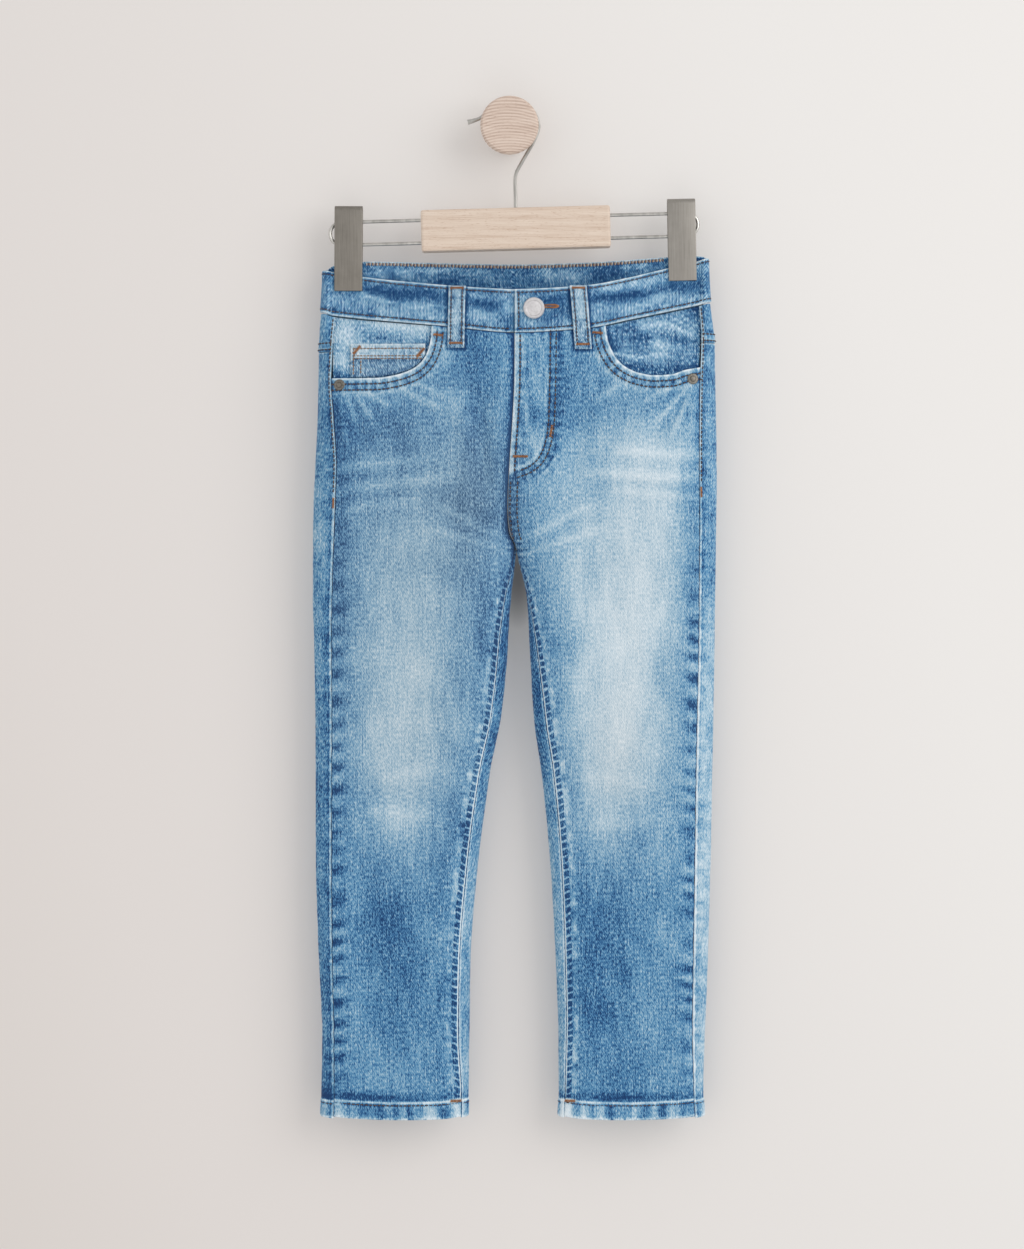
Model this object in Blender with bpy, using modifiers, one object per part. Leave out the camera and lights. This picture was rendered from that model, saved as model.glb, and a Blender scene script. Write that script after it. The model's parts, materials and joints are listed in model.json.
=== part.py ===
"""Skinny jeans on a clip hanger that hangs from a round wooden wall knob.

Tables and sizes are in millimetres, and meshes are made in metres. The origin is the centre of
the knob's flat back face on the wall, +Z is up and the front faces -Y. "drop" is the distance
below the origin, "across" is X, and left and right are -X and +X.

The trousers are one closed form: a ring of cloth around the hips that parts at the crotch into
two rings, one for each leg. A place on a ring is given by its face, front or back, and by the
arc length from the outer fold. Every cut piece takes its points from that form.
"""
import math

import bmesh
import bpy
import numpy as np
from mathutils import Matrix, Vector

MM = 0.001
SEAM_GAP = 0.3
HALF_GAP = SEAM_GAP / 2
CLOTH_WALL = 1.2
MIDDLE_PLANE = -24.0
CROTCH_DROP = 304.0
GRIP_END_DROP = 118.0
HIP_DROP = 185.0

# Cross-sections from the waist to the hem. inner_left and inner_right are the middle seam above
# the crotch and the inner folds below it. The seam columns are distances from the fold onto the
# front, and middle_share is how much of the depth is left at the middle seam.
SECTION_COLUMNS = (
    "drop", "outer_left", "inner_left", "inner_right", "outer_right",
    "outseam_left", "inseam_left", "inseam_right", "outseam_right",
    "front_depth", "back_depth", "outer_round", "inner_round", "middle_share",
)
SECTIONS = (
    (90, -134.0, 3.6, 3.6, 142.8, 10.9, 0, 0, 8.0, 13.0, 10.0, 5.0, 30, 1.0),
    (125, -135.3, 3.6, 3.6, 144.6, 10.9, 0, 0, 8.3, 13.0, 10.0, 5.5, 30, 1.0),
    (157, -137.5, 3.6, 3.6, 147.1, 10.5, 0, 0, 9.2, 13.0, 10.5, 12, 30, 1.0),
    (183, -137.8, 3.4, 3.4, 147.4, 9.6, 0, 0, 10.5, 13.8, 11.5, 20, 30, 1.0),
    (212, -137.8, 2.0, 2.0, 147.6, 11.3, 0, 0, 11.0, 15.2, 13.2, 28, 30, 1.0),
    (249, -139.0, -0.4, -0.4, 147.9, 14.5, 0, 0, 11.4, 16.0, 14.5, 34, 32, 0.90),
    (275, -140.1, -1.2, -1.2, 148.0, 14.7, 0, 0, 11.2, 16.0, 14.6, 36, 34, 0.56),
    (292, -140.5, 0.2, 0.2, 147.9, 14.4, 0, 0, 11.1, 15.6, 14.4, 36, 34, 0.24),
    (304, -140.6, 4.7, 4.7, 147.7, 14.0, 0, 0, 11.0, 15.2, 14.0, 36, 34, 0.12),
    (312, -140.8, 3.9, 6.5, 147.6, 13.8, 0.4, 0.3, 10.9, 15.0, 13.7, 36, 34, 0),
    (341, -140.8, 0.8, 12.6, 147.2, 13.0, 4.0, 1.6, 10.7, 14.2, 12.8, 36, 34, 0),
    (377, -139.8, -1.2, 14.6, 146.8, 11.6, 6.8, 5.2, 10.6, 13.2, 11.8, 35, 33, 0),
    (425, -138.9, -6.0, 17.6, 145.9, 11.0, 7.4, 8.2, 10.8, 12.2, 10.8, 33, 31, 0),
    (466, -138.9, -14.2, 23.2, 145.2, 10.8, 7.6, 8.7, 10.9, 11.4, 10.0, 31, 29, 0),
    (528, -138.9, -22.4, 29.2, 144.2, 10.7, 7.8, 8.2, 10.7, 10.6, 9.3, 29, 27, 0),
    (605, -136.6, -28.4, 33.6, 142.3, 9.0, 8.0, 6.9, 10.0, 9.7, 8.6, 26, 25, 0),
    (656, -134.5, -29.2, 35.5, 141.0, 7.9, 7.6, 5.6, 9.2, 9.2, 8.2, 24, 23, 0),
    (695, -135.3, -29.4, 35.6, 139.9, 8.9, 5.3, 4.5, 7.1, 9.2, 8.2, 23, 22, 0),
    (720, -135.8, -30.0, 34.9, 141.0, 9.2, 5.0, 4.2, 7.0, 9.6, 8.6, 22, 21, 0),
)

# The waistband's edges and how far the cloth stands from the middle plane there. The two clips
# pinch it, and a small round fold is left outside each clip.
WAIST_COLUMNS = (
    "across", "front_top", "front_bottom", "back_top", "back_bottom", "front_stand", "back_stand",
)
WAIST = (
    (-150.0, 103.6, 133.8, 103.6, 133.8, 4.4, 4.4),
    (-134.0, 103.8, 134.0, 103.4, 133.8, 4.4, 4.4),
    (-131.0, 104.2, 134.9, 102.0, 133.5, 4.4, 4.4),
    (-128.4, 104.7, 136.0, 100.6, 133.0, 2.6, 2.6),
    (-126.4, 105.0, 136.3, 99.6, 132.8, 1.8, 1.8),
    (-104.0, 108.4, 138.8, 97.0, 130.7, 1.8, 1.8),
    (-97.0, 109.4, 139.5, 96.8, 130.3, 2.7, 2.5),
    (-80.0, 111.5, 141.2, 97.0, 130.3, 5.6, 4.4),
    (-43.0, 115.2, 144.8, 97.6, 130.8, 10.3, 7.4),
    (3.6, 118.1, 149.2, 98.2, 131.4, 13.6, 9.2),
    (56.0, 114.9, 145.9, 97.0, 130.2, 10.3, 7.4),
    (88.0, 108.6, 139.2, 95.4, 128.8, 5.6, 4.4),
    (106.0, 104.0, 135.2, 94.2, 127.6, 2.7, 2.5),
    (112.5, 102.4, 133.7, 93.8, 127.2, 1.8, 1.8),
    (136.2, 96.9, 128.6, 93.0, 126.7, 1.8, 1.8),
    (138.5, 96.2, 128.0, 93.2, 126.6, 2.6, 2.6),
    (141.5, 95.4, 127.2, 93.6, 126.5, 4.4, 4.4),
    (144.0, 94.6, 126.5, 94.6, 126.4, 4.4, 4.4),
    (160.0, 94.6, 126.4, 94.6, 126.4, 4.4, 4.4),
)

# The seam between the yokes and the back panels: across and drop.
YOKE_SEAM = (
    (-150.0, 163.0),
    (-125.0, 163.0),
    (-60.0, 168.5),
    (3.6, 176.0),
    (70.0, 166.5),
    (136.0, 156.5),
    (160.0, 156.0),
)

# The cut-away edge of each front pocket as across and drop, from the outseam to the waistband.
SCOOPS = {
    "left": (
        (-128.2, 182.2),
        (-117.7, 182.2),
        (-95.7, 181.9),
        (-82.0, 179.8),
        (-73.0, 177.0),
        (-66.0, 172.9),
        (-61.0, 167.0),
        (-58.0, 159.8),
        (-56.3, 150.5),
        (-56.0, 143.6),
    ),
    "right": (
        (137.0, 174.2),
        (126.0, 176.2),
        (116.0, 179.4),
        (103.5, 180.0),
        (93.0, 178.3),
        (84.0, 174.4),
        (77.5, 168.6),
        (72.8, 160.5),
        (70.0, 151.5),
        (69.0, 143.3),
    ),
}

# The main folds: a soft ridge with a positive rise, or a trough with a negative one, along a
# line. Each is the face, the across and drop of both ends, the width and the rise.
FOLDS = (
    ("front", -22, 196, -19, 262, 7, -2.6),
    ("front", -32, 205, -29, 262, 6, 1.0),
    ("front", 52, 200, 44, 256, 8, -1.2),
    ("front", -116, 198, -106, 226, 6, -1.4),
    ("front", -76, 198, -40, 216, 7, -1.2),
    ("front", 126, 196, 100, 224, 7, -1.4),
    ("front", -12, 292, -96, 262, 9, -1.3),
    ("front", 14, 292, 96, 258, 9, -1.3),
    ("front", -14, 312, -86, 300, 9, 0.9),
    ("front", 22, 314, 92, 300, 9, 0.9),
    ("front", -96, 344, -88, 470, 13, 1.1),
    ("front", 98, 344, 90, 470, 13, 1.1),
    ("front", -40, 486, -122, 478, 10, -1.0),
    ("front", 44, 480, 126, 490, 10, -1.0),
    ("front", -112, 520, -96, 650, 12, -0.9),
    ("front", 62, 520, 74, 650, 12, -0.9),
    ("back", -14, 288, -104, 318, 10, -1.4),
    ("back", 20, 288, 110, 318, 10, -1.4),
    ("back", -20, 316, -100, 346, 10, 0.9),
    ("back", 30, 316, 104, 346, 10, 0.9),
    ("back", -46, 470, -120, 482, 11, -1.0),
    ("back", 50, 476, 124, 468, 11, -1.0),
    ("back", -58, 520, -70, 650, 12, -0.8),
    ("back", 104, 520, 92, 650, 12, -0.8),
)

HEM_BOTTOM = 713.0
HEM_TURN_UP = 12.0
HEM_BOW = 2.4
HEM_BOW_START = 640.0
HEM_OUTER = 0.5
HEM_INNER = -1.5
HEM_STEP = 0.6
EDGE_ROW = 0.8
EDGE_CLOSE = 0.5
LEVEL_DROPS = (
    216, 229, 243, 257, 270, 282, 293, 304, 309, 316, 327, 341, 358, 378, 401, 427, 455, 483,
    512, 542, 573, 604, 634, 660, 684,
)
LEVEL_START = 204.0
TOP_ROWS = 4

# Columns of a front: those along the pocket scoop and those along the waistband.
SCOOP_COLUMNS = 10
BAND_COLUMNS = 5

# Columns of a back, and their shares up to the outer fold and up to the inner one.
WRAP_COLUMNS = 19
WRAP_FOLD_SHARE = 0.34
WRAP_INNER_SHARE = 0.72
WRAP_TURN = 16.0

BAND_OUTER = 0.8
BAND_INNER = -1.6

# The strip's left end sinks under the right one. Its places across run from its end to the
# overlap's edge, and beyond the edge it comes up again over two columns.
UNDERLAP_SINK = 2.8
UNDERLAP_PLACES = (33.0, 23.0, 13.0, 4.0)
UNDERLAP_RISE = (1.0, 0.9, 0.3)
UNDERLAP_SHIFT = 0.1
OVERLAP_EDGE = 3.6
BAND_NOMINAL_DROP = 118.0
BAND_FINE_STEP = 2.0
BAND_FINE_STEPS = 8
BAND_WIDE_STEP = 8.0

YOKE_TOP_GAP = 0.9
YOKE_STEPS = 4

FACING_OUTER = -1.9
FACING_INNER = -2.9
FACING_TUCK = 9.0
FACING_TAIL = 14.0
FACING_COLUMNS = 12
FACING_STEPS = 5

# The small pocket on the left facing. Its lower edge follows the scoop, a little above it.
COIN_OUTER = -0.4
COIN_INNER = -1.4
COIN_LEFT = -114.1
COIN_RIGHT = -60.5
COIN_TOP = 157.0
COIN_RAISE = 1.0
COIN_COLUMNS = 9
COIN_STEPS = 4

# The hidden back pockets: the half, across of the two top corners and of the two bottom ones,
# and the drops of the top, the bottom corners and the point.
BACK_POCKET_OUTER = 1.6
BACK_POCKET_INNER = 0.5
BACK_POCKET_COLUMNS = 7
BACK_POCKET_STEPS = 7
BACK_POCKETS = (
    ("left", -101.0, -27.0, -96.0, -32.0, 186.0, 254.0, 267.0),
    ("right", 108.0, 34.0, 103.0, 39.0, 183.0, 251.0, 264.0),
)

# Belt loops: the name, the face, and the across of the top and of the bottom end.
LOOP_WIDTH = 12.0
LOOP_THICK = 1.4
LOOP_OVER_BAND = 1.2
LOOP_ON_PANEL = 0.5
LOOP_REACH = 11.0
LOOPS = (
    ("belt_loop_front_left", "front", -37.4, -38.5),
    ("belt_loop_front_right", "front", 49.1, 53.0),
    ("belt_loop_back_left", "back", -78.0, -79.0),
    ("belt_loop_back_middle", "back", 4.2, 3.8),
    ("belt_loop_back_right", "back", 86.0, 87.0),
)

# The button's across and drop, and each rivet's name, half, across and drop.
BUTTON_PLACE = (17.4, 132.0)
BUTTON_RADIUS = 7.6
BUTTON_GAP = 0.5
RIVET_RADIUS = 4.0
RIVET_GAP = 0.4
RIVETS = (
    ("rivet_left", "left", -122.0, 187.0),
    ("rivet_right", "right", 131.5, 182.6),
)

# The hanger: the bar's middle as across and height, and each rod's name, side and reach.
HANGER_MIDDLE = (4.5, -73.6)
HANGER_TILT = math.radians(1.55)
BAR_LENGTH = 136.4
BAR_HEIGHT = 30.0
BAR_THICK = 13.0
BAR_EDGE = 1.6
ROD_HALF_SPACING = 8.25
ROD_TURN_STEPS = 12
RODS = (
    ("rod_left", -1.0, 134.0),
    ("rod_right", 1.0, 131.6),
)

# Clips: the name, the across and drop of the bottom edge's middle, the height and the lean.
CLIP_WIDTH = 20.2
CLIP_HALF_INSIDE = 3.0
CLIP_PLATE = 1.2
CLIP_BEND = 14.0
CLIP_TURN_STEPS = 8
CLIPS = (
    ("clip_left", -116.2, 118.5, 61.6, 0.2),
    ("clip_right", 124.9, 111.1, 59.5, -1.1),
)

# The hook's wire as across and height: the shank from above the bar, a circle round the knob
# between two angles in degrees, and the tip. The last points of the tip swell a little.
WIRE_RADIUS = 1.3
SHANK_START = 0.6
SHANK = (
    (4.3, -50.0), (4.0, -40.0), (4.2, -35.5), (5.2, -32.0), (7.4, -28.0), (10.0, -23.4),
    (13.0, -18.2), (16.2, -12.7), (18.6, -8.0), (20.2, -4.0),
)
HOOK_CENTRE = (0.3, -1.0)
HOOK_RADIUS = 21.0
HOOK_RISE_ANGLE = 4.0
HOOK_LEAVE_ANGLE = 148.0
HOOK_STEPS = 26
HOOK_TIP = ((-19.4, 8.0), (-21.2, 6.5), (-23.8, 5.4), (-27.0, 4.4), (-30.2, 3.6))
TIP_SWELL = (1.05, 1.25, 1.45)

KNOB_TURN_STEPS = 40

COLLECTION = bpy.data.collections.new("skinny_jeans")


def clear_scene():
    """Remove every object that the new file starts with."""
    for item in list(bpy.data.objects):
        bpy.data.objects.remove(item, do_unlink=True)
    bpy.context.scene.collection.children.link(COLLECTION)


def smooth_step(share):
    """0 below zero, 1 above one, and a soft rise between."""
    share = min(max(share, 0.0), 1.0)
    return share * share * (3.0 - 2.0 * share)


def dense_curve(keys, values, step):
    """Sample a smooth curve through the values that never overshoots them."""
    keys = [float(key) for key in keys]
    rates = [
        (values[i + 1] - values[i]) / (keys[i + 1] - keys[i]) for i in range(len(keys) - 1)
    ]
    slopes = [rates[0]]
    for before, after in zip(rates, rates[1:]):
        if before * after <= 0.0:
            slopes.append(0.0)
        else:
            slopes.append(2.0 * before * after / (before + after))
    slopes.append(rates[-1])
    dense_keys = []
    dense_values = []
    for i in range(len(keys) - 1):
        length = keys[i + 1] - keys[i]
        count = max(1, int(math.ceil(length / step)))
        for k in range(count):
            t = k / count
            flat = 2 * t**3 - 3 * t**2 + 1
            lean_in = t**3 - 2 * t**2 + t
            lean_out = t**3 - t**2
            dense_keys.append(keys[i] + t * length)
            dense_values.append(
                flat * values[i] + (1 - flat) * values[i + 1]
                + length * (lean_in * slopes[i] + lean_out * slopes[i + 1])
            )
    dense_keys.append(keys[-1])
    dense_values.append(values[-1])
    return np.array(dense_keys), np.array(dense_values)


def table_curves(columns, rows, step):
    """A dense curve for every column of a table, over its first column."""
    keys = [row[0] for row in rows]
    return {
        name: dense_curve(keys, [float(row[i]) for row in rows], step)
        for i, name in enumerate(columns) if i > 0
    }


SECTION_CURVES = table_curves(SECTION_COLUMNS, SECTIONS, 1.0)
WAIST_CURVES = table_curves(WAIST_COLUMNS, WAIST, 0.5)
YOKE_CURVE = dense_curve([row[0] for row in YOKE_SEAM], [row[1] for row in YOKE_SEAM], 1.0)


def section(name, drop):
    """A value of the section table at a drop."""
    keys, values = SECTION_CURVES[name]
    return float(np.interp(drop, keys, values))


def waist(name, across):
    """A value of the waist table at a place across."""
    keys, values = WAIST_CURVES[name]
    return float(np.interp(across, keys, values))


def yoke_seam_drop(across):
    """The drop of the yoke seam at a place across."""
    return float(np.interp(across, YOKE_CURVE[0], YOKE_CURVE[1]))


def fold_relief(face, across, drop):
    """How far the main folds raise or sink the cloth."""
    total = 0.0
    for row_face, x1, d1, x2, d2, width, rise in FOLDS:
        if row_face != face:
            continue
        length = math.hypot(x2 - x1, d2 - d1)
        along = ((across - x1) * (x2 - x1) + (drop - d1) * (d2 - d1)) / length
        aside = ((across - x1) * (d2 - d1) - (drop - d1) * (x2 - x1)) / length
        reach = along / length
        if -0.2 < reach < 1.2 and abs(aside) < 3.0 * width:
            end_fade = smooth_step((reach + 0.2) / 0.4) * smooth_step((1.2 - reach) / 0.4)
            total += rise * end_fade * math.exp(-((aside / width) ** 2))
    return total


class Ring:
    """The cross-section of one half at a drop: a hip half, or a whole leg below the crotch."""

    def __init__(self, half, drop):
        self.half = half
        self.side = -1.0 if half == "left" else 1.0
        self.drop = drop
        self.closed = drop > CROTCH_DROP
        self.outer = section("outer_" + half, drop)
        self.inner = section("inner_" + half, drop)
        self.outer_round = section("outer_round", drop)
        self.inner_round = section("inner_round", drop)
        self.width = abs(self.outer - self.inner)
        self.outer_quarter = self.outer_round * math.pi / 2
        self.inner_quarter = self.inner_round * math.pi / 2
        self.total = self.outer_quarter + self.width - self.outer_round
        if self.closed:
            self.total += self.inner_quarter - self.inner_round

    def across(self, arc):
        """The place across at an arc length between the two ends of a face."""
        if arc < self.outer_quarter:
            inset = self.outer_round * (1.0 - math.cos(arc / self.outer_round))
        elif self.closed and arc > self.total - self.inner_quarter:
            turned = (self.total - arc) / self.inner_round
            inset = self.width - self.inner_round * (1.0 - math.cos(turned))
        else:
            inset = self.outer_round + arc - self.outer_quarter
        return self.outer - self.side * inset

    def arc(self, across):
        """The arc length at a place across."""
        inset = min(max((self.outer - across) * self.side, 0.0), self.width)
        if inset < self.outer_round:
            return self.outer_round * math.acos(1.0 - inset / self.outer_round)
        if self.closed and inset > self.width - self.inner_round:
            turned = math.acos(1.0 - (self.width - inset) / self.inner_round)
            return self.total - self.inner_round * turned
        return self.outer_quarter + inset - self.outer_round

    def outseam_arc(self):
        """The arc length of the outseam, on the front."""
        return self.arc(self.outer - self.side * section("outseam_" + self.half, self.drop))

    def inseam_rest(self):
        """The arc length from the inner fold back to the inseam, on the front."""
        if not self.closed:
            return 0.0
        reach = section("inseam_" + self.half, self.drop)
        return self.total - self.arc(self.inner + self.side * reach)

    def stand(self, face, across):
        """How far the cloth stands from the middle plane."""
        from_outer = min(abs(across - self.outer) / self.outer_round, 1.0)
        from_inner = min(abs(across - self.inner) / self.inner_round, 1.0)
        edge = math.sqrt(max(1.0 - (1.0 - from_outer) ** 2, 0.0))
        bulge = max(1.0 - (1.0 - from_inner) ** 2, 0.0)
        if self.closed:
            middle = math.sqrt(bulge)
        else:
            share = section("middle_share", self.drop)
            softness = 0.5 + 0.4 * min(1.0, 2.0 * share)
            middle = share + (1.0 - share) * bulge**softness
        hip = section(face + "_depth", self.drop) * middle
        grip = waist(face + "_stand", across)
        opened = smooth_step((self.drop - GRIP_END_DROP) / (HIP_DROP - GRIP_END_DROP))
        folds = fold_relief(face, across, self.drop) * middle
        return edge * (grip * (1.0 - opened) + hip * opened + folds)


def spot(half, face, arc, drop):
    """A point of the form, in millimetres. An arc length past an end turns onto the other face."""
    ring = Ring(half, drop)
    if arc < 0.0:
        face = "back" if face == "front" else "front"
        arc = -arc
    elif ring.closed and arc > ring.total:
        face = "back" if face == "front" else "front"
        arc = 2.0 * ring.total - arc
    across = ring.across(arc)
    stand = ring.stand(face, across)
    return Vector((across, MIDDLE_PLANE + (stand if face == "back" else -stand), -drop))


def outward(half, face, arc, drop):
    """The direction that points out of the form."""
    reach = 0.2
    along = spot(half, face, arc + reach, drop) - spot(half, face, arc - reach, drop)
    if drop > CROTCH_DROP:
        down = spot(half, face, arc, drop + reach) - spot(half, face, arc, drop)
    else:
        down = spot(half, face, arc, drop) - spot(half, face, arc, drop - reach)
    same_way = (half == "left") == (face == "back")
    normal = along.cross(down) if same_way else down.cross(along)
    return normal.normalized()


def raised(half, face, arc, drop, rise):
    """A point that stands off the form by a rise, in metres."""
    return (spot(half, face, arc, drop) + outward(half, face, arc, drop) * rise) * MM


def half_at(across, drop):
    """The half that a place across belongs to."""
    return "left" if across < section("inner_left", min(drop, CROTCH_DROP)) else "right"


def place_at(face, across, drop, outer, inner):
    """A place given by its distance across instead of an arc length."""
    half = half_at(across, drop)
    return (half, face, Ring(half, drop).arc(across), drop, outer, inner)


def add_object(name, points, faces, colour, roughness, metal):
    """A mesh object with its own material, linked to the part's collection."""
    mesh = bpy.data.meshes.new(name)
    mesh.from_pydata(points, [], faces)
    item = bpy.data.objects.new(name, mesh)
    return finish_object(item, colour, roughness, metal)


def finish_object(item, colour, roughness, metal):
    """Give an object its own Principled material and link it."""
    material = bpy.data.materials.new(item.name)
    material.use_nodes = True
    shader = material.node_tree.nodes["Principled BSDF"]
    shader.inputs["Base Color"].default_value = (*colour, 1.0)
    shader.inputs["Roughness"].default_value = roughness
    shader.inputs["Metallic"].default_value = metal
    item.data.materials.append(material)
    COLLECTION.objects.link(item)
    return item


def cloth(name, rows, colour):
    """A closed piece of cloth between an outer and an inner sheet of points.

    Each place of a row is half, face, arc length, drop, outer rise and inner rise.
    """
    row_count = len(rows)
    column_count = len(rows[0])
    outer = [raised(*place[:4], place[4]) for row in rows for place in row]
    inner = [raised(*place[:4], place[5]) for row in rows for place in row]
    shift = len(outer)
    faces = []

    def index(i, j):
        return i * column_count + j

    for i in range(row_count - 1):
        for j in range(column_count - 1):
            loop = (index(i, j), index(i + 1, j), index(i + 1, j + 1), index(i, j + 1))
            faces.append(loop)
            faces.append(tuple(k + shift for k in reversed(loop)))
    rim = [index(0, j) for j in range(column_count)]
    rim += [index(i, column_count - 1) for i in range(1, row_count)]
    rim += [index(row_count - 1, j) for j in range(column_count - 2, -1, -1)]
    rim += [index(i, 0) for i in range(row_count - 2, 0, -1)]
    for a, b in zip(rim, rim[1:] + rim[:1]):
        faces.append((a, b, b + shift, a + shift))
    item = add_object(name, outer + inner, faces, colour, 0.85, 0.0)
    shell = bmesh.new()
    shell.from_mesh(item.data)
    bmesh.ops.recalc_face_normals(shell, faces=shell.faces)
    shell.to_mesh(item.data)
    shell.free()
    return item


def along_line(line, count):
    """Places at even steps along a line of across and drop pairs."""
    lengths = [0.0]
    for start, end in zip(line, line[1:]):
        lengths.append(lengths[-1] + math.hypot(end[0] - start[0], end[1] - start[1]))
    across = [pair[0] for pair in line]
    drops = [pair[1] for pair in line]
    steps = [lengths[-1] * k / (count - 1) for k in range(count)]
    return [(float(np.interp(s, lengths, across)), float(np.interp(s, lengths, drops))) for s in steps]


def hem_shift(drop, share):
    """The hem bows down a little in the middle of each face."""
    return HEM_BOW * (1.0 - (2.0 * share - 1.0) ** 2) * smooth_step(
        (drop - HEM_BOW_START) / (HEM_BOTTOM - HEM_BOW_START)
    )


def hem_rows():
    """Drops of the last rows with the outer and inner rise of the cloth there."""
    rows = [(drop, 0.0, -CLOTH_WALL) for drop in LEVEL_DROPS]
    edge = HEM_BOTTOM - HEM_TURN_UP
    rows.append((edge - HEM_STEP, 0.0, -CLOTH_WALL))
    rows.append((edge + HEM_STEP, HEM_OUTER, HEM_INNER))
    rows.append((HEM_BOTTOM - EDGE_ROW, HEM_OUTER, HEM_INNER))
    rows.append((HEM_BOTTOM, HEM_OUTER - EDGE_CLOSE, HEM_INNER + EDGE_CLOSE))
    return rows


def front_panel(half, colour):
    """A front from the waistband and the pocket scoop down to the hem."""
    scoop = SCOOPS[half]
    start = scoop[-1][0]
    side = -1.0 if half == "left" else 1.0
    end = section("inner_left", waist("front_bottom", OVERLAP_EDGE)) + side * HALF_GAP
    top = along_line(scoop, SCOOP_COLUMNS)[:-1]
    for k in range(BAND_COLUMNS + 1):
        across = start + (end - start) * k / BAND_COLUMNS
        top.append((across, waist("front_bottom", across) + SEAM_GAP))
    last = len(top) - 1
    low_ring = Ring(half, LEVEL_START)
    rows = []
    for k in range(TOP_ROWS):
        share = k / TOP_ROWS
        row = []
        for j, (across, drop) in enumerate(top):
            low_across = low_ring.across(edge_arc(low_ring, j / last))
            new_drop = drop + (LEVEL_START - drop) * share
            ring = Ring(half, new_drop)
            arc = ring.arc(across + (low_across - across) * share)
            if j in (0, last):
                arc = edge_arc(ring, j / last)
            row.append((half, "front", arc, new_drop, 0.0, -CLOTH_WALL))
        rows.append(row)
    for drop, outer, inner in [(LEVEL_START, 0.0, -CLOTH_WALL)] + hem_rows():
        row = []
        for j in range(len(top)):
            new_drop = drop + hem_shift(drop, j / last)
            arc = edge_arc(Ring(half, new_drop), j / last)
            row.append((half, "front", arc, new_drop, outer, inner))
        rows.append(row)
    return cloth("front_" + half, rows, colour)


def edge_arc(ring, share):
    """Arc length on the front from the outseam, at share 0, to the inner seam, at share 1."""
    start = ring.outseam_arc() + HALF_GAP
    end = ring.total - ring.inseam_rest() - HALF_GAP
    return start + (end - start) * share


def wrap_arc(ring, share):
    """Arc length on the back from the outseam, round both folds, to the inner seam."""
    start = HALF_GAP - ring.outseam_arc()
    outer_end = max(ring.outer_quarter, WRAP_TURN)
    inner_start = ring.total - (ring.inner_quarter if ring.closed else ring.inner_round)
    end = ring.total + ring.inseam_rest() - HALF_GAP
    knots = (0.0, WRAP_FOLD_SHARE, WRAP_INNER_SHARE, 1.0)
    return float(np.interp(share, knots, (start, outer_end, inner_start, end)))


def band_bottom(face, across):
    """The drop of the waistband's lower edge."""
    return waist(face + "_bottom", across)


def wrapped_face(arc):
    """A negative arc length on the back lies on the front."""
    return "front" if arc < 0.0 else "back"


def settle_drop(half, share, edge):
    """Find the drop at which a column meets an edge that is given over face and across."""
    drop = YOKE_SEAM[0][1]
    for _ in range(6):
        ring = Ring(half, drop)
        arc = wrap_arc(ring, share)
        drop = edge(wrapped_face(arc), ring.across(abs(arc)))
    return drop


def yoke(half, colour):
    """A yoke between the waistband and a back panel."""
    columns = []
    for j in range(WRAP_COLUMNS):
        share = j / (WRAP_COLUMNS - 1)
        top = settle_drop(half, share, lambda face, x: band_bottom(face, x) + YOKE_TOP_GAP)
        low = settle_drop(half, share, lambda face, x: yoke_seam_drop(x) - HALF_GAP)
        column = []
        for k in range(YOKE_STEPS + 1):
            drop = top + (low - top) * k / YOKE_STEPS
            arc = wrap_arc(Ring(half, drop), share)
            column.append((half, "back", arc, drop, 0.0, -CLOTH_WALL))
        columns.append(column)
    return cloth("yoke_" + half, list(zip(*columns)), colour)


def back_panel(half, colour):
    """A back from the yoke seam down to the hem, wrapping to the outseam and inseam."""
    columns = []
    for j in range(WRAP_COLUMNS):
        share = j / (WRAP_COLUMNS - 1)
        top = settle_drop(half, share, lambda face, x: yoke_seam_drop(x) + HALF_GAP)
        column = []
        for k in range(TOP_ROWS):
            drop = top + (LEVEL_START - top) * k / TOP_ROWS
            arc = wrap_arc(Ring(half, drop), share)
            column.append((half, "back", arc, drop, 0.0, -CLOTH_WALL))
        for drop, outer, inner in [(LEVEL_START, 0.0, -CLOTH_WALL)] + hem_rows():
            ring = Ring(half, drop)
            reach = abs(wrap_arc(ring, share)) / ring.total
            new_drop = drop + hem_shift(drop, min(reach, 2.0 - reach))
            arc = wrap_arc(Ring(half, new_drop), share)
            column.append((half, "back", arc, new_drop, outer, inner))
        columns.append(column)
    return cloth("back_" + half, list(zip(*columns)), colour)


def band_arcs(half):
    """Arc lengths from the outer fold to the middle, close together round the fold."""
    ring = Ring(half, BAND_NOMINAL_DROP)
    arcs = [BAND_FINE_STEP * k for k in range(BAND_FINE_STEPS + 1)]
    rest = ring.total - arcs[-1]
    steps = int(math.ceil(rest / BAND_WIDE_STEP))
    arcs += [arcs[-1] + rest * k / steps for k in range(1, steps + 1)]
    return arcs


def band_arc(half, arc, drop):
    """Carry an arc length of the band to another drop, straight down away from the fold."""
    nominal = Ring(half, BAND_NOMINAL_DROP)
    level = Ring(half, drop)
    fold_arc = BAND_FINE_STEP * BAND_FINE_STEPS
    if arc >= fold_arc:
        return level.arc(nominal.across(arc))
    return arc * level.arc(nominal.across(fold_arc)) / fold_arc


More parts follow.
